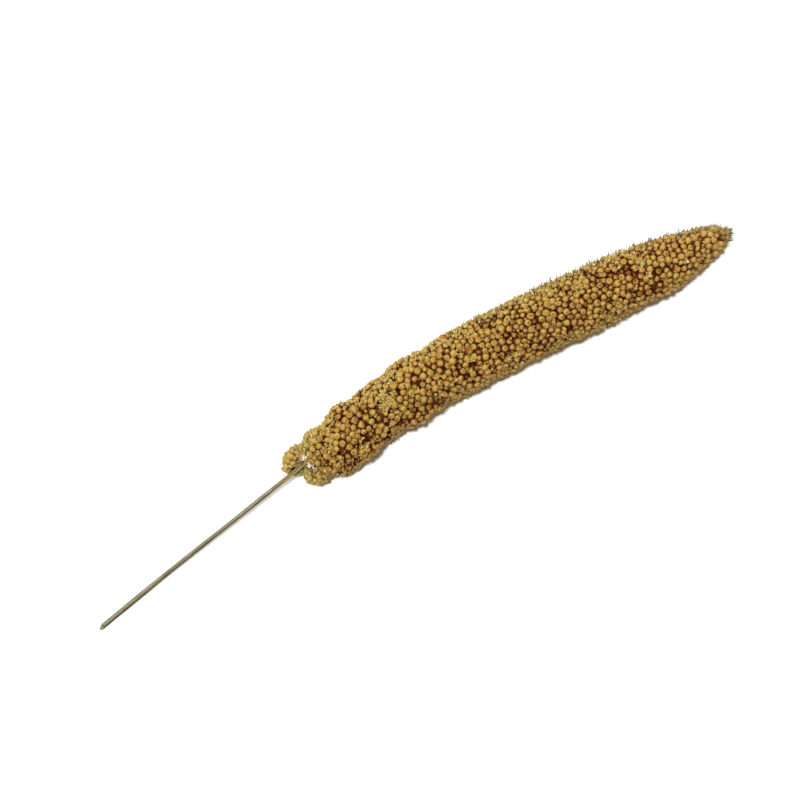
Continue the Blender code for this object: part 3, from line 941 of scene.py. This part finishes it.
# Outer grains, side by side over the whole head
outerGrains = {
    "width": (1.92, 0.18, 1.55, 2.28),  # mean, spread, least and most
    "small": (0.15, 1.34, 0.15),  # share of unripe grains, with their mean width and its spread
    "packing": 0.90,  # share of the surface that the grains' circles would cover
    "rounds": 90,
    "widerAtBase": (0.09, 22, 48),  # by how much, up to where, and where it ends
    "widerAtTip": 0.06,
    "longer": (1.0, 1.25),  # length as a multiple of width
    "smallLonger": (1.3, 1.7),
    "tipLonger": 0.32,
    "rise": (-0.06, 0.24, -0.9, 0.28),  # how far a grain stands out: mean, spread, least and most
    "smallSunk": 0.15,
    "hollows": (0.7, 1.3),  # unevenness at which a hollow starts, and over what it grows full
    "dip": 0.24,  # depth of the hollows
    "leftOut": (0.01, 0.07),  # over the body, and in the hollows
    "lean": (0.22, 0.95),  # towards the tip, over the body and at the tip itself
    "sway": 0.36,
    "tipReach": 30,
    "beak": (-0.18, 0.12),
    "beakAdded": (0.14, 0.25),  # at the tip, and on small grains
    "groove": (0.0, 0.16),
    "press": (0.03, 0.11),
    "seed": 21,
    "rows": 6,
    "sides": 10,
}

# Grains of the layer below, seen between the outer ones
deepGrains = {
    "width": (1.60, 0.15, 1.3, 1.95),
    "small": (0.0, 1.2, 0.1),
    "packing": 0.80,
    "rounds": 50,
    "longer": (1.05, 1.3),
    "depth": (0.8, 0.1),
    "span": (3.0, 1.5),  # how far from the junction and from the tip they stop
    "lean": 0.2,
    "sway": 0.2,
    "beak": (0.0, 0.12),
    "groove": (0.0, 0.08),
    "press": (0.0, 0.06),
    "tone": (0.36, 0.16),
    "seed": 22,
    "rows": 4,
    "sides": 8,
}

# Tones of the outer grains: greener along both edges, and most of all near the base
toneForm = {
    "middle": 0.42,
    "spread": 0.17,
    "drift": (0.10, 23),  # how far the tones drift over the head, and the seed of that
    "edges": ((0.10, 205), (0.16, 10)),  # what each adds, and the degrees it faces
    "base": (0.32, 2, 12),  # what it adds, and where along s that fades
}


# Widths that cover the wanted share of an area, most of them ripe and the rest small, with a mask
# of the small ones
def drawWidths(draw, form, area):
    mean, spread, least, most = form["width"]
    share, smallMean, smallSpread = form["small"]
    meanSquare = (1 - share) * mean**2 + share * smallMean**2
    count = int(area * form["packing"] / (math.pi / 4 * meanSquare))
    small = draw.uniform(size=count) < share
    ripe = np.clip(draw.normal(mean, spread, count), least, most)
    return np.where(small, draw.normal(smallMean, smallSpread, count), ripe), small


# Unevenness over the head: a sum of waves in s and a with random phases, near 0 and mostly within 1
def unevenness(s, a, seed, waves=14):
    draw = np.random.RandomState(seed)
    turns = draw.randint(1, 9, waves) * draw.choice([-1, 1], waves)
    pace = fullTurn / draw.uniform(4.5, 10, waves)
    phase = draw.uniform(0, fullTurn, waves)
    total = np.sin(s[..., None] * pace + a[..., None] * turns + phase).sum(-1)
    return total / math.sqrt(waves / 2)


# Distance from the middle of an egg to its surface along the normal
def eggDepth(along, normal, width, length):
    share = (along * normal).sum(-1) ** 2
    return np.sqrt(length**2 * share + width**2 * (1 - share)) / 2


def toneAt(s, a, draw):
    form = toneForm
    more, seed = form["drift"]
    tone = form["middle"] + more * unevenness(s, a, seed) + form["spread"] * draw.normal(size=len(s))
    for more, degrees in form["edges"]:
        tone = tone + more * turnedTo(a, degrees, 3)
    more, *run = form["base"]
    return np.clip(tone + more * (1 - eased(s, *run)), 0, 1)


# Share of their depth that turns into painted shade on the grains: less near the base, where the seams
# are pale
def shadeAt(s):
    return 0.7 + 0.3 * eased(s, 2, 10)


# How much wider the grains are near the base
def baseSize(s):
    more, fullTo, endAt = outerGrains["widerAtBase"]
    return 1 + more * (1 - eased(s, fullTo, endAt - fullTo))


def evenSize(s):
    return np.ones_like(s)


def chosen(grains, keep):
    return {key: value[keep] for key, value in grains.items()}


# What each grain has of its own: its twist, its beak, its groove and how hard it is pressed
def drawShapes(draw, form, count):
    shapes = {"twist": draw.uniform(0, fullTurn, count)}
    for key in ("beak", "groove", "press"):
        shapes[key] = draw.uniform(*form[key], count)
    return shapes


def layHeadGrains():
    form = outerGrains
    draw = np.random.RandomState(form["seed"])
    widths, small = drawWidths(draw, form, roomOn(head, baseSize)[-1])
    m, a = spreadOut(head, widths, draw, form["rounds"], baseSize)
    count = len(m)
    s = head.table(head.s, m)
    top, normal, toTip = head.top(m, a)
    atTip = eased(s, axis.end - form["tipReach"], form["tipReach"])
    sway = draw.normal(0, form["sway"], (count, 3))
    along = unit(normal + between(*form["lean"], atTip)[:, None] * toTip + sway)
    smallLonger = draw.uniform(*form["smallLonger"], count)
    longer = np.where(small, smallLonger, draw.uniform(*form["longer"], count))
    width = widths * baseSize(s) * (1 + form["widerAtTip"] * atTip)
    length = width * (longer + form["tipLonger"] * atTip)
    hollow = eased(unevenness(s, a, form["seed"]), *form["hollows"]) * (1 - atTip)
    mean, spread, least, most = form["rise"]
    rise = draw.normal(mean, spread, count) - form["dip"] * hollow - form["smallSunk"] * small
    depth = eggDepth(along, normal, width, length)
    centre = top + (np.clip(rise, least, most) - depth)[:, None] * normal
    keep = draw.uniform(size=count) > between(*form["leftOut"], hollow)
    keep &= clearOfGaps(centre, 0.45) & ~nearPatch(s, a)
    laid = {"s": s, "top": top, "centre": centre, "normal": normal, "along": along}
    laid.update(drawShapes(draw, form, count), width=width, length=length)
    tipMore, smallMore = form["beakAdded"]
    laid["beak"] = laid["beak"] + tipMore * atTip + smallMore * small
    laid.update(tone=toneAt(s, a, draw), shade=shadeAt(s))
    return chosen(laid, keep)


shapeKeys = ("centre", "along", "twist", "width", "length", "beak", "groove", "press")


# Grains as a batch, with the depth of each point below the tops in millimetres, times the grain's share
# of painted shade
def grainBatch(grains, rows, sides):
    points = grainPoints(*(grains[key] for key in shapeKeys), rows, sides)
    depth = ((grains["top"][:, None] - points) * grains["normal"][:, None]).sum(-1)
    depth = depth * grains["shade"][:, None]
    return batchOf(liftedToFloor(points), rows, sides, tone=grains["tone"], depth=depth)


grains = layHeadGrains()
print("outer grains laid", len(grains["s"]))
for name, low, high in (("lower", -9, 44), ("middle", 44, 86), ("upper", 86, 999)):
    part = chosen(grains, (grains["s"] >= low) & (grains["s"] < high))
    batch = grainBatch(part, outerGrains["rows"], outerGrains["sides"])
    makePiece(f"grains_{name}", [batch], hull, "seed_head")


def layDeepGrains():
    form = deepGrains
    draw = np.random.RandomState(form["seed"])
    width, _ = drawWidths(draw, form, head.area[-1])
    m, a = spreadOut(head, width, draw, form["rounds"], evenSize)
    count = len(m)
    s = head.table(head.s, m)
    top, normal, toTip = head.top(m, a)
    along = unit(normal + form["lean"] * toTip + draw.normal(0, form["sway"], (count, 3)))
    length = width * draw.uniform(*form["longer"], count)
    depth = draw.normal(*form["depth"], count) + eggDepth(along, normal, width, length)
    centre = top - depth[:, None] * normal
    fromJunction, fromTip = form["span"]
    keep = clearOfGaps(centre, 0.5) & (s > fromJunction) & (s < axis.end - fromTip)
    laid = {"top": top, "centre": centre, "normal": normal, "along": along}
    laid.update(drawShapes(draw, form, count), width=width, length=length)
    laid.update(tone=np.clip(draw.normal(*form["tone"], count), 0, 1), shade=shadeAt(s))
    return chosen(laid, keep)


deepBatch = grainBatch(layDeepGrains(), deepGrains["rows"], deepGrains["sides"])
makePiece("grains_deep", [deepBatch], hull, "seed_head")


# Glumes on the outer grains
glumeForm = {
    "share": 0.85,
    "reach": (0.9, 1.65),
    "spread": (0.38, 0.75),
    "thickness": 0.07,
    "tone": (0.22, 0.5, 0.16, 0.86),  # least, share of the grain's own, spread and most
    "rows": 3,
    "sides": 6,
    "seed": 31,
}


def glumeBatch(grains, share, seed):
    form = glumeForm
    draw = np.random.RandomState(seed)
    part = chosen(grains, draw.uniform(size=len(grains["centre"])) < share)
    count = len(part["centre"])
    turn = draw.uniform(0, fullTurn, count)
    reach = draw.uniform(*form["reach"], count)
    spread = draw.uniform(*form["spread"], count)
    rows, sides = form["rows"], form["sides"]
    grain = [part[key] for key in shapeKeys[:5]]
    points = glumePoints(*grain, turn, reach, spread, rows, sides, form["thickness"])
    least, own, vary, most = form["tone"]
    tone = np.clip(least + own * part["tone"] + draw.normal(0, vary, count), 0, most)
    return batchOf(liftedToFloor(points), rows, sides, tone=tone)


glumes = glumeBatch(grains, glumeForm["share"], glumeForm["seed"])


# Scales from their bases, with width, length, curl and cup drawn from their ranges
def drawScales(draw, form, base, along, facing, length=None):
    count = len(base)
    width = draw.uniform(*form["width"], count)
    if length is None:
        length = draw.uniform(*form["length"], count)
    curl = draw.uniform(*form["curl"], count)
    cup = draw.uniform(*form["cup"], count)
    rows, sides = form["rows"], 6
    points = scalePoints(base, along, facing, width, length, curl, cup, rows, sides, form["thickness"])
    return points, rows, sides


# Open husks: pale scales spread round one spot
huskForm = {
    "perPatch": 2.3,
    "scattered": 140,
    "each": 4,
    "length": (1.1, 1.9),
    "width": (0.7, 1.15),
    "curl": (0.0, 0.25),
    "cup": (0.4, 0.8),
    "spread": (0.35, 1.0),
    "root": (0.9, 1.3),  # how far below the tops they start
    "tone": (0.70, 0.15, 0.84),  # mean, spread and most
    "rows": 3,
    "thickness": 0.06,
    "seed": 41,
}


def huskBatch():
    form = huskForm
    draw = np.random.RandomState(form["seed"])
    s, a = [], []
    for patchS, degrees, radius in openPatches:
        count = int(form["perPatch"] * radius**2)
        away = radius * np.sqrt(draw.uniform(size=count))
        turn = draw.uniform(0, fullTurn, count)
        s.append(patchS + away * np.cos(turn))
        a.append(math.radians(degrees) + away * np.sin(turn) / patchGirth)
    s.append(draw.uniform(2, axis.end - 8, form["scattered"]))
    a.append(draw.uniform(0, fullTurn, form["scattered"]))
    s, a = np.concatenate(s), np.concatenate(a)
    top, normal, toTip = head.top(np.interp(s, head.s, head.m), a)
    across = np.cross(normal, toTip)[:, None]
    each = form["each"]
    turn = draw.uniform(0, fullTurn, (len(s), 1)) + ringAngles(each)
    turn = turn + draw.normal(0, 0.25, turn.shape)
    outwards = np.cos(turn)[..., None] * toTip[:, None] + np.sin(turn)[..., None] * across
    spread = draw.uniform(*form["spread"], (len(s), each, 1))
    along = unit(normal[:, None] + spread * outwards).reshape(-1, 3)
    facing = unit(outwards - 0.2 * normal[:, None]).reshape(-1, 3)
    root = top - draw.uniform(*form["root"], (len(s), 1)) * normal
    points, rows, sides = drawScales(draw, form, np.repeat(root, each, 0), along, facing)
    mean, vary, most = form["tone"]
    tone = np.clip(draw.normal(mean, vary, len(points)), 0, most)
    return batchOf(liftedToFloor(points), rows, sides, tone=tone)


husks = huskBatch()

# Pale papery bits that fill the gaps beside the stalk's end
gapForm = {
    "height": (9.6, 10.0),
    "reach": (0.25, 1.1),  # how far each gap runs to either side
    "run": (0.28, -0.96, -0.15),  # the way it runs
    "each": 11,
    "length": (1.0, 1.6),
    "width": (0.55, 0.9),
    "curl": (0.0, 0.15),
    "cup": (0.1, 0.4),
    "tone": (0.96, 1.0),
    "rows": 3,
    "thickness": 0.07,
    "seed": 47,
}


def gapBatch():
    form = gapForm
    draw = np.random.RandomState(form["seed"])
    spots = np.array([place(x, y, z) for (x, y, _), z in zip(baseGaps, form["height"])])
    spots = np.repeat(spots, form["each"], 0)
    count = len(spots)
    away = np.repeat(form["reach"], form["each"]) * draw.uniform(-1, 1, count)
    spots = spots + away[:, None] * form["run"]
    along = unit(draw.normal(size=(count, 3)) * [1, 1, 0.25])
    length = draw.uniform(*form["length"], count)
    base = spots + draw.normal(0, 0.3, spots.shape) * [1, 1, 0.3] - along * (length / 2)[:, None]
    facing = unit(draw.normal(0, 0.25, (count, 3)) + [0, 0, 1])
    points, rows, sides = drawScales(draw, form, base, along, facing, length)
    return batchOf(points, rows, sides, tone=draw.uniform(*form["tone"], count))


# Flakes: torn bits of husk caught in the seams between grains, closest along the upper edge
flakeForm = {
    "tried": 26000,
    "inSeam": -0.24,  # least distance outside the nearest grains' circles
    "wanted": (0.16, 0.30, 0.22, 0.30),  # share all over, and what both edges and the patches add
    "fewerPast": (0.6, 60, 50),  # by how much, from where along s, and over what run
    "moreAtBase": (0.4, 4, 12),
    "patches": (46, 0.2, 1.2),  # seed, unevenness at which one starts, and its run
    "length": (0.75, 1.3),
    "width": (0.45, 0.85),
    "curl": (-0.1, 0.3),
    "cup": (0.2, 0.8),
    "root": 0.75,
    "tone": (0.40, 0.2, 0.35, 0.88),  # mean, spread, what the upper edge adds, and most
    "rows": 2,
    "thickness": 0.09,
    "seed": 45,
}


def flakeBatch():
    form = flakeForm
    draw = np.random.RandomState(form["seed"])
    m = np.interp(draw.uniform(0.004, 1, form["tried"]) * head.area[-1], head.area, head.m)
    a = draw.uniform(0, fullTurn, len(m))
    s = head.table(head.s, m)
    upperEdge, lowerEdge = turnedTo(a, 15, 2), turnedTo(a, 200, 2)
    seed, *grown = form["patches"]
    allOver, atUpper, atLower, inPatch = form["wanted"]
    wanted = allOver + atUpper * upperEdge + atLower * lowerEdge
    wanted = wanted + inPatch * eased(unevenness(s, a, seed), *grown)
    fewer, *past = form["fewerPast"]
    more, *base = form["moreAtBase"]
    wanted = wanted * (1 - fewer * eased(s, *past)) + more * (1 - eased(s, *base))
    chance = draw.uniform(size=len(m)) < wanted
    top, normal, toTip = head.top(m[chance], a[chance])
    squares = (top**2).sum(1)[:, None] + (grains["top"] ** 2).sum(1) - 2 * top @ grains["top"].T
    outside = np.sqrt(np.maximum(squares, 0)) - grains["width"] / 2
    free = outside.min(1) > form["inSeam"]
    top, normal, toTip, upperEdge = (each[free] for each in (top, normal, toTip, upperEdge[chance]))
    along = unit(normal + 0.15 * toTip + draw.normal(0, 0.4, top.shape))
    facing = unit(draw.normal(size=top.shape))
    points, rows, sides = drawScales(draw, form, top - form["root"] * normal, along, facing)
    mean, vary, more, most = form["tone"]
    tone = np.clip(draw.normal(mean, vary, len(top)) + more * upperEdge, 0, most)
    return batchOf(liftedToFloor(points), rows, sides, tone=tone)


makePiece("husks", [glumes, husks, flakeBatch()], husk, "seed_head")


# Basal clusters: longer, greener grains that spread from where each cluster is fixed
basalForm = {
    "extra": (((61.6, 9.1, 6.0), (68.6, 9.1, 6.6), 1.95),),  # a small one beside the stalk
    "width": (1.58, 0.18, 1.25, 2.0),
    "small": (0.0, 1.2, 0.1),
    "packing": 0.86,
    "rounds": 70,
    "longer": (1.35, 1.9),
    "rise": (-0.1, 0.17, -0.9, 0.25),
    "beak": (-0.1, 0.16),
    "groove": (0.0, 0.14),
    "press": (0.02, 0.08),
    "tone": (0.93, 0.11),
    "shade": 0.72,
    "outwards": 0.32,
    "sway": 0.16,
    "openTo": (2.2, 0.45),  # over the roots grains are sunk, this far across and this deep
    "offStalk": 1.25,
    "roots": ((67.6, 9.3, 6.6), (68.6, 6.2, 6.4), (67.2, 7.4, 5.0), (67.6, 8.9, 6.4)),
    "rows": 6,
    "sides": 10,
    "seed": 51,
}


# The nearest point of the stalk's axis to each spot, among points a fifth of a millimetre apart
def nearestOnAxis(spots):
    line = axis.at(np.arange(-12, 3, 0.2))
    apart = np.linalg.norm(spots[:, None] - line, axis=-1)
    return line[apart.argmin(1)]


def layBasalGrains():
    form = basalForm
    draw = np.random.RandomState(form["seed"])
    laid = []
    for (base, tip, radius), rootAt in zip(basalClusters + form["extra"], form["roots"]):
        line = Line(np.array([place(*base), place(*tip)]))
        egg = Body(line, 0, lambda s: eggRadius(s, line.end, radius))
        width, _ = drawWidths(draw, form, egg.area[-1])
        m, a = spreadOut(egg, width, draw, form["rounds"], evenSize)
        top, normal, _ = egg.top(m, a)
        root = np.broadcast_to(place(*rootAt), top.shape)
        sway = draw.normal(0, form["sway"], top.shape)
        along = unit(unit((top - root) * [1, 1, 0.4]) + form["outwards"] * normal + sway)
        length = width * draw.uniform(*form["longer"], len(m))
        mean, spread, least, most = form["rise"]
        rise = np.clip(draw.normal(mean, spread, len(m)), least, most)
        across, deep = form["openTo"]
        overRoot = np.linalg.norm((top - root)[:, :2], axis=1) < across
        rise = rise - deep * (overRoot & (top[:, 2] > root[:, 2]))
        centre = top + (rise - eggDepth(along, normal, width, length))[:, None] * normal
        offStalk = np.linalg.norm(centre - nearestOnAxis(centre), axis=1)
        keep = clearOfGaps(centre, 0.4) & (offStalk > form["offStalk"])
        grains = {"top": top, "centre": centre, "along": along, "normal": normal, "root": root}
        grains.update(drawShapes(draw, form, len(m)), width=width, length=length)
        tone = np.clip(draw.normal(*form["tone"], len(m)), 0, 1)
        grains.update(tone=tone, shade=np.full(len(m), form["shade"]))
        laid.append(chosen(grains, keep))
    return {key: np.concatenate([part[key] for part in laid]) for key in laid[0]}


basal = layBasalGrains()
basalBatch = grainBatch(basal, basalForm["rows"], basalForm["sides"])
makePiece("grains_basal", [basalBatch], hull, "seed_head")
makePiece("husks_basal", [glumeBatch(basal, 0.8, 52), gapBatch()], husk, "seed_head")


# Branchlets: pale stalklets from the end of the stalk to the clusters, and from each root to grains
branchletForm = {
    "from": 0.4,  # s of the stalk's end
    "into": (
        (71.5, 9.6, 9.2), (71.5, 6.0, 9.4), (71.5, 11.6, 7.0), (71.5, 4.4, 6.8), (71.5, 7.6, 3.2),
        (71.5, 8.4, 10.4),
    ),
    "fineShare": 0.8,  # of the basal grains
    "fans": (  # where a fan of stalklets starts over a cluster, how far it reaches, and its share
        ((68.3, 9.6, 9.3), 3.6, 0.9),
        ((70.0, 5.2, 9.6), 3.0, 0.6),
    ),
    "strands": (  # radius at either end, rows, sides, and tones: the fans, the stout and the fine
        (0.12, 0.08, 5, 5, (0.5, 1.0)),
        (0.30, 0.20, 6, 8, (0.4, 0.9)),
        (0.13, 0.09, 4, 6, (0.5, 1.0)),
    ),
    "seed": 61,
}


def makeBranchlets():
    form = branchletForm
    draw = np.random.RandomState(form["seed"])
    ends = np.array([place(*spot) for spot in basalForm["roots"] + form["into"]])
    starts = axis.at(form["from"]) + draw.normal(0, 0.12, ends.shape)
    stout = (starts, (starts + ends) / 2 + draw.normal(0, 0.35, ends.shape), ends)
    part = chosen(basal, draw.uniform(size=len(basal["centre"])) < form["fineShare"])
    foot = part["centre"] - part["along"] * (part["length"] / 2)[:, None] * 0.9
    start = part["root"] + draw.normal(0, 0.2, foot.shape)
    bend = (start + foot) / 2 + 0.3 * part["normal"] + draw.normal(0, 0.15, foot.shape)
    starts, bends, ends = [], [], []
    for startAt, reach, share in form["fans"]:
        hub = place(*startAt)
        away = basal["top"] - hub
        near = (np.linalg.norm(away[:, :2], axis=1) < reach) & (basal["top"][:, 2] > hub[2] - 2.6)
        near &= draw.uniform(size=len(near)) < share
        tops = basal["top"][near]
        starts.append(hub + draw.normal(0, 0.22, tops.shape) * [1, 1, 0.4])
        ends.append(tops - 0.1 * basal["normal"][near] + draw.normal(0, 0.15, tops.shape))
        bends.append((starts[-1] + ends[-1]) / 2 + [0, 0, 0.35])
    fans = [np.concatenate(each) for each in (starts, bends, ends)]
    batches = []
    kinds = (fans, stout, (start, bend, foot))
    for strands, (thick, thin, rows, sides, tones) in zip(kinds, form["strands"]):
        points = strandPoints(*strands, thick, thin, rows, sides)
        batches.append(batchOf(points, rows, sides, tone=draw.uniform(*tones, len(points))))
    makePiece("branchlets", batches, twig, "seed_head")


makeBranchlets()


# Bristles between the grains, leaning to the tip, closest on the side that faces +Y and at the tip
bristleForm = {
    "tried": 9000,
    "wanted": (0.006, 0.50, 0.5, 0.35),  # share all over, and what the upper side, tip and end add
    "upperSide": (0.68, 0.25),  # cosine from +Y where it starts, and over what it grows full
    "upperRun": (0.15, 0.85, 40, 45),  # how much of it there is at the base, what s adds, and where
    "tip": (22, 20),  # how far before the end of the axis it starts, and its run
    "end": (5, 4),
    "length": (1.25, 1.95),
    "longer": (0.15, 0.75, 0.35),  # at the tip, at its end, and on the upper side
    "root": 0.85,  # how far below the tops of the grains they start
    "radius": (0.11, 0.06),
    "lean": (0.45, 0.35),  # all over, and what the tip adds
    "sway": 0.22,
    "bend": 0.12,
    "rows": 3,
    "sides": 3,
    "seed": 71,
}


def makeBristles():
    form = bristleForm
    draw = np.random.RandomState(form["seed"])
    m = np.interp(draw.uniform(0.02, 1, form["tried"]) * head.area[-1], head.area, head.m)
    a = draw.uniform(0, fullTurn, len(m))
    s = head.table(head.s, m)
    atTip, atEnd = (eased(s, axis.end - start, run) for start, run in (form["tip"], form["end"]))
    atBase, more, *run = form["upperRun"]
    upperSide = eased(np.cos(a), *form["upperSide"]) * (atBase + more * eased(s, *run))
    allOver, onSide, onTip, onEnd = form["wanted"]
    tipSide = eased(np.cos(a - 0.6), -0.3, 0.6)
    wanted = allOver + onSide * upperSide + onTip * atTip * tipSide + onEnd * atEnd
    keep = draw.uniform(size=len(m)) < wanted
    m, a, atTip, atEnd, upperSide = (each[keep] for each in (m, a, atTip, atEnd, upperSide))
    count = len(m)
    top, normal, toTip = head.top(m, a)
    root = top - form["root"] * normal
    lean = form["lean"][0] + form["lean"][1] * atTip
    along = unit(normal + lean[:, None] * toTip + draw.normal(0, form["sway"], (count, 3)))
    tipMore, endMore, sideMore = form["longer"]
    length = draw.uniform(*form["length"], count) + tipMore * atTip + endMore * atEnd
    length = length + sideMore * upperSide * (1 - atTip)
    step = length[:, None] * along
    ahead = np.where(step > 0, mostCorner, leastCorner) - root
    room = ahead / np.where(np.abs(step) < 1e-9, 1e-9, step)  # a bristle stops at the room it has
    end = root + step * np.clip(room.min(1), 0, 1)[:, None]
    sag = form["bend"] * length[:, None] * unit(toTip + draw.normal(0, 0.4, (count, 3)))
    rows, sides = form["rows"], form["sides"]
    points = strandPoints(root, (root + end) / 2 - sag, end, *form["radius"], rows, sides)
    batch = batchOf(points, rows, sides, tone=draw.uniform(0, 1, count))
    makePiece("bristles", [batch], bristleStraw, "seed_head")


makeBristles()


# Stalk: the solid's ridged rod, with finer ribs and slight swellings along it
stalkForm = {
    "radiusAtCut": 0.64,
    "radiusAtHead": 0.54,
    "ridges": 6,
    "ridgeHeight": 0.06,
    "ribs": 13,
    "ribHeight": 0.034,
    "sides": 65,
    "rows": 180,
    "slant": (57, 30),  # degrees of the cut from square, back from its foot and in plan
    "tones": (  # tone round the stalk, by degrees from its +Y side over the top: a pale streak on the +Y side of the top as painted light, the -Y side dark as painted shade, with dark lines
        (0, 0.0), (36, 0.04), (49, 0.62), (60, 1.0), (69, 0.72), (78, 0.10), (88, 0.36), (98, 0.30),
        (110, 0.0), (150, 0.04), (190, 0.10), (250, 0.4), (305, 0.3), (335, 0.25), (360, 0.0),
    ),
    "inHead": 11,
    "toneRibs": 0.12,
    "paintedLightNearHead": (0.38, -9, 7),  # painted light near the head, against the clusters' shadow: by how much, from where along s, and over what run
    "warmer": (-11, 9),
    "cutRings": 4,
    "cutTone": 1.4,  # past 1 the material turns the grey of the cut
    "sheath": (  # strips from the stalk, past a bend, to a root
        ((57.0, 6.75, 6.30), (62.5, 7.40, 6.85), (67.2, 8.25, 7.6)),
        ((60.0, 6.55, 6.60), (64.5, 7.05, 7.20), (69.0, 7.80, 8.4)),
    ),
    "sheathRadius": (0.27, 0.18),
    "sheathRings": (9, 8),  # rows and sides
}


def makeStalk():
    form = stalkForm
    s = np.linspace(axis.start, form["inHead"], form["rows"])
    a = ringAngles(form["sides"])
    share = (s - axis.start) / (form["inHead"] - axis.start)
    radius = between(form["radiusAtCut"], form["radiusAtHead"], share)
    swell = 1 + 0.025 * np.sin(s * 0.31) + 0.015 * np.sin(s * 0.93 + 1)
    drift = 0.35 * np.sin(s * 0.05)[:, None]
    ridge = form["ridgeHeight"] / 2 * np.cos(form["ridges"] * (a + 0.15 * drift))
    rib = form["ribHeight"] * np.cos(form["ribs"] * a + 1.3 * drift + 0.8 * np.sin(3 * a))
    rings = (radius * swell)[:, None] + ridge + rib
    centre, forwards, sideways, up = axis.frameAt(s)
    out = np.cos(a)[None, :, None] * sideways[:, None] + np.sin(a)[None, :, None] * up[:, None]
    rows = centre[:, None] + rings[..., None] * out
    back, aside = (math.tan(math.radians(degrees)) for degrees in form["slant"])
    shift = (rows[0] - centre[0]) @ (back * up[0] + aside * sideways[0])
    rows[0] += shift[:, None] * forwards[0]
    cut = []
    for k in range(form["cutRings"]):
        share = (k + 1) / (form["cutRings"] + 1)
        fuzz = 0.05 * np.sin(7 * a + 2 * k) * share
        cut.append(centre[0] + (rows[0] - centre[0]) * share + fuzz[:, None] * forwards[0])
    rows = np.concatenate([cut, rows])
    points = closedTubes(centre[:1], rows, centre[-1:])
    points[..., 2] = np.maximum(points[..., 2], 0)
    degrees, tones = np.array(form["tones"]).T
    turned = (a + 0.16 * np.sin(s * 0.13)[:, None] + 0.08 * np.sin(s * 0.41 + 1)[:, None]) % fullTurn
    tone = np.interp(np.degrees(turned), degrees, tones)
    tone = tone + form["toneRibs"] * np.cos(form["ribs"] * a + 0.8 * np.sin(3 * a))
    tone = tone + 0.06 * np.sin(s * 0.6)[:, None]
    more, *run = form["paintedLightNearHead"]
    tone = np.clip(tone + more * eased(s, *run)[:, None], 0, 1)
    atCut = np.full(1 + form["cutRings"] * len(a), form["cutTone"])
    tone = np.concatenate([atCut, tone.ravel(), [0.5]])[None]
    warm = np.repeat(eased(s, *form["warmer"]), len(a))
    warm = np.concatenate([np.zeros_like(atCut), warm, [1.0]])[None]
    batch = batchOf(points, len(rows), len(a), tone=tone, warm=warm)
    sheath = np.array([[place(*spot) for spot in strip] for strip in form["sheath"]])
    rings = form["sheathRings"]
    strips = strandPoints(*sheath.transpose(1, 0, 2), *form["sheathRadius"], *rings)
    strips = batchOf(strips, *rings, tone=[0.62, 0.75], warm=[0.85, 1.0])
    makePiece("stalk_dressed", [batch, strips], straw, "stalk")


makeStalk()
print("pieces made")


# Floor, light and camera
floorForm = {"half": 1.6, "colour": (0.95, 0.945, 0.935), "roughness": 0.9, "specular": 0.1}


def makeFloor():
    half = floorForm["half"]
    corners = [(x * half, y * half, 0) for x, y in ((-1, -1), (1, -1), (1, 1), (-1, 1))]
    mesh = bpy.data.meshes.new("floor")
    mesh.from_pydata(corners, [], [(0, 1, 2, 3)])
    material, _, shader = startMaterial("pale_floor")
    shader.inputs["Base Color"].default_value = (*floorForm["colour"], 1)
    shader.inputs["Roughness"].default_value = floorForm["roughness"]
    shader.inputs["Specular IOR Level"].default_value = floorForm["specular"]
    mesh.materials.append(material)
    floor = addObject("floor", mesh)


makeFloor()

lightForm = {
    "key": (3.72, 6.5, (-0.19, 0.85, 5.8)),  # strength, degrees across, and where it comes from
    "side": (2.03, 40, (-0.22, 0.965, 1.0)),
    "sky": 0.23,
    "skyColour": (1.0, 0.82, 0.54),
}


def makeLight():
    for name in ("key", "side"):
        strength, across, whence = lightForm[name]
        lamp = bpy.data.lights.new(name, "SUN")
        lamp.energy = strength
        lamp.angle = math.radians(across)
        light = addObject(name, lamp)
        light.rotation_mode = "QUATERNION"
        light.rotation_quaternion = Vector(whence).to_track_quat("Z", "Y")
    world = bpy.data.worlds.new("studio")
    world.use_nodes = True
    tree = world.node_tree
    sky = tree.nodes["Background"]
    sky.inputs["Color"].default_value = (*lightForm["skyColour"], 1)
    sky.inputs["Strength"].default_value = lightForm["sky"]
    backdrop = addNode(tree, "ShaderNodeBackground")  # what the camera sees past the floor's edge
    backdrop.inputs["Color"].default_value = (1, 1, 1, 1)
    seen = addNode(tree, "ShaderNodeMixShader")
    toCamera = addNode(tree, "ShaderNodeLightPath").outputs["Is Camera Ray"]
    for socket, value in zip(seen.inputs, (toCamera, sky.outputs[0], backdrop.outputs[0])):
        feed(tree, socket, value)
    feed(tree, tree.nodes["World Output"].inputs["Surface"], seen.outputs[0])
    bpy.context.scene.world = world


makeLight()

cameraForm = {
    "lens": 85,
    "sensor": 36,
    "turn": 32,  # degrees from +X to the right of the picture
    "aim": (1.12, 2.33, 8.0),
    "distance": 491.1,
}


def makeCamera():
    form = cameraForm
    lens = bpy.data.cameras.new("photo_camera")
    lens.lens = form["lens"]
    lens.sensor_width = form["sensor"]
    camera = addObject("photo_camera", lens)
    turn = math.radians(form["turn"])
    right = Vector((math.cos(turn), -math.sin(turn), 0))
    up = Vector((math.sin(turn), math.cos(turn), 0))
    back = right.cross(up)
    spot = (Vector(form["aim"]) + back * form["distance"]) * mm
    turned = Matrix((right, up, back)).transposed().to_4x4()
    camera.matrix_world = Matrix.Translation(spot) @ turned
    bpy.context.scene.camera = camera


makeCamera()
bpy.context.scene.view_settings.view_transform = "Standard"
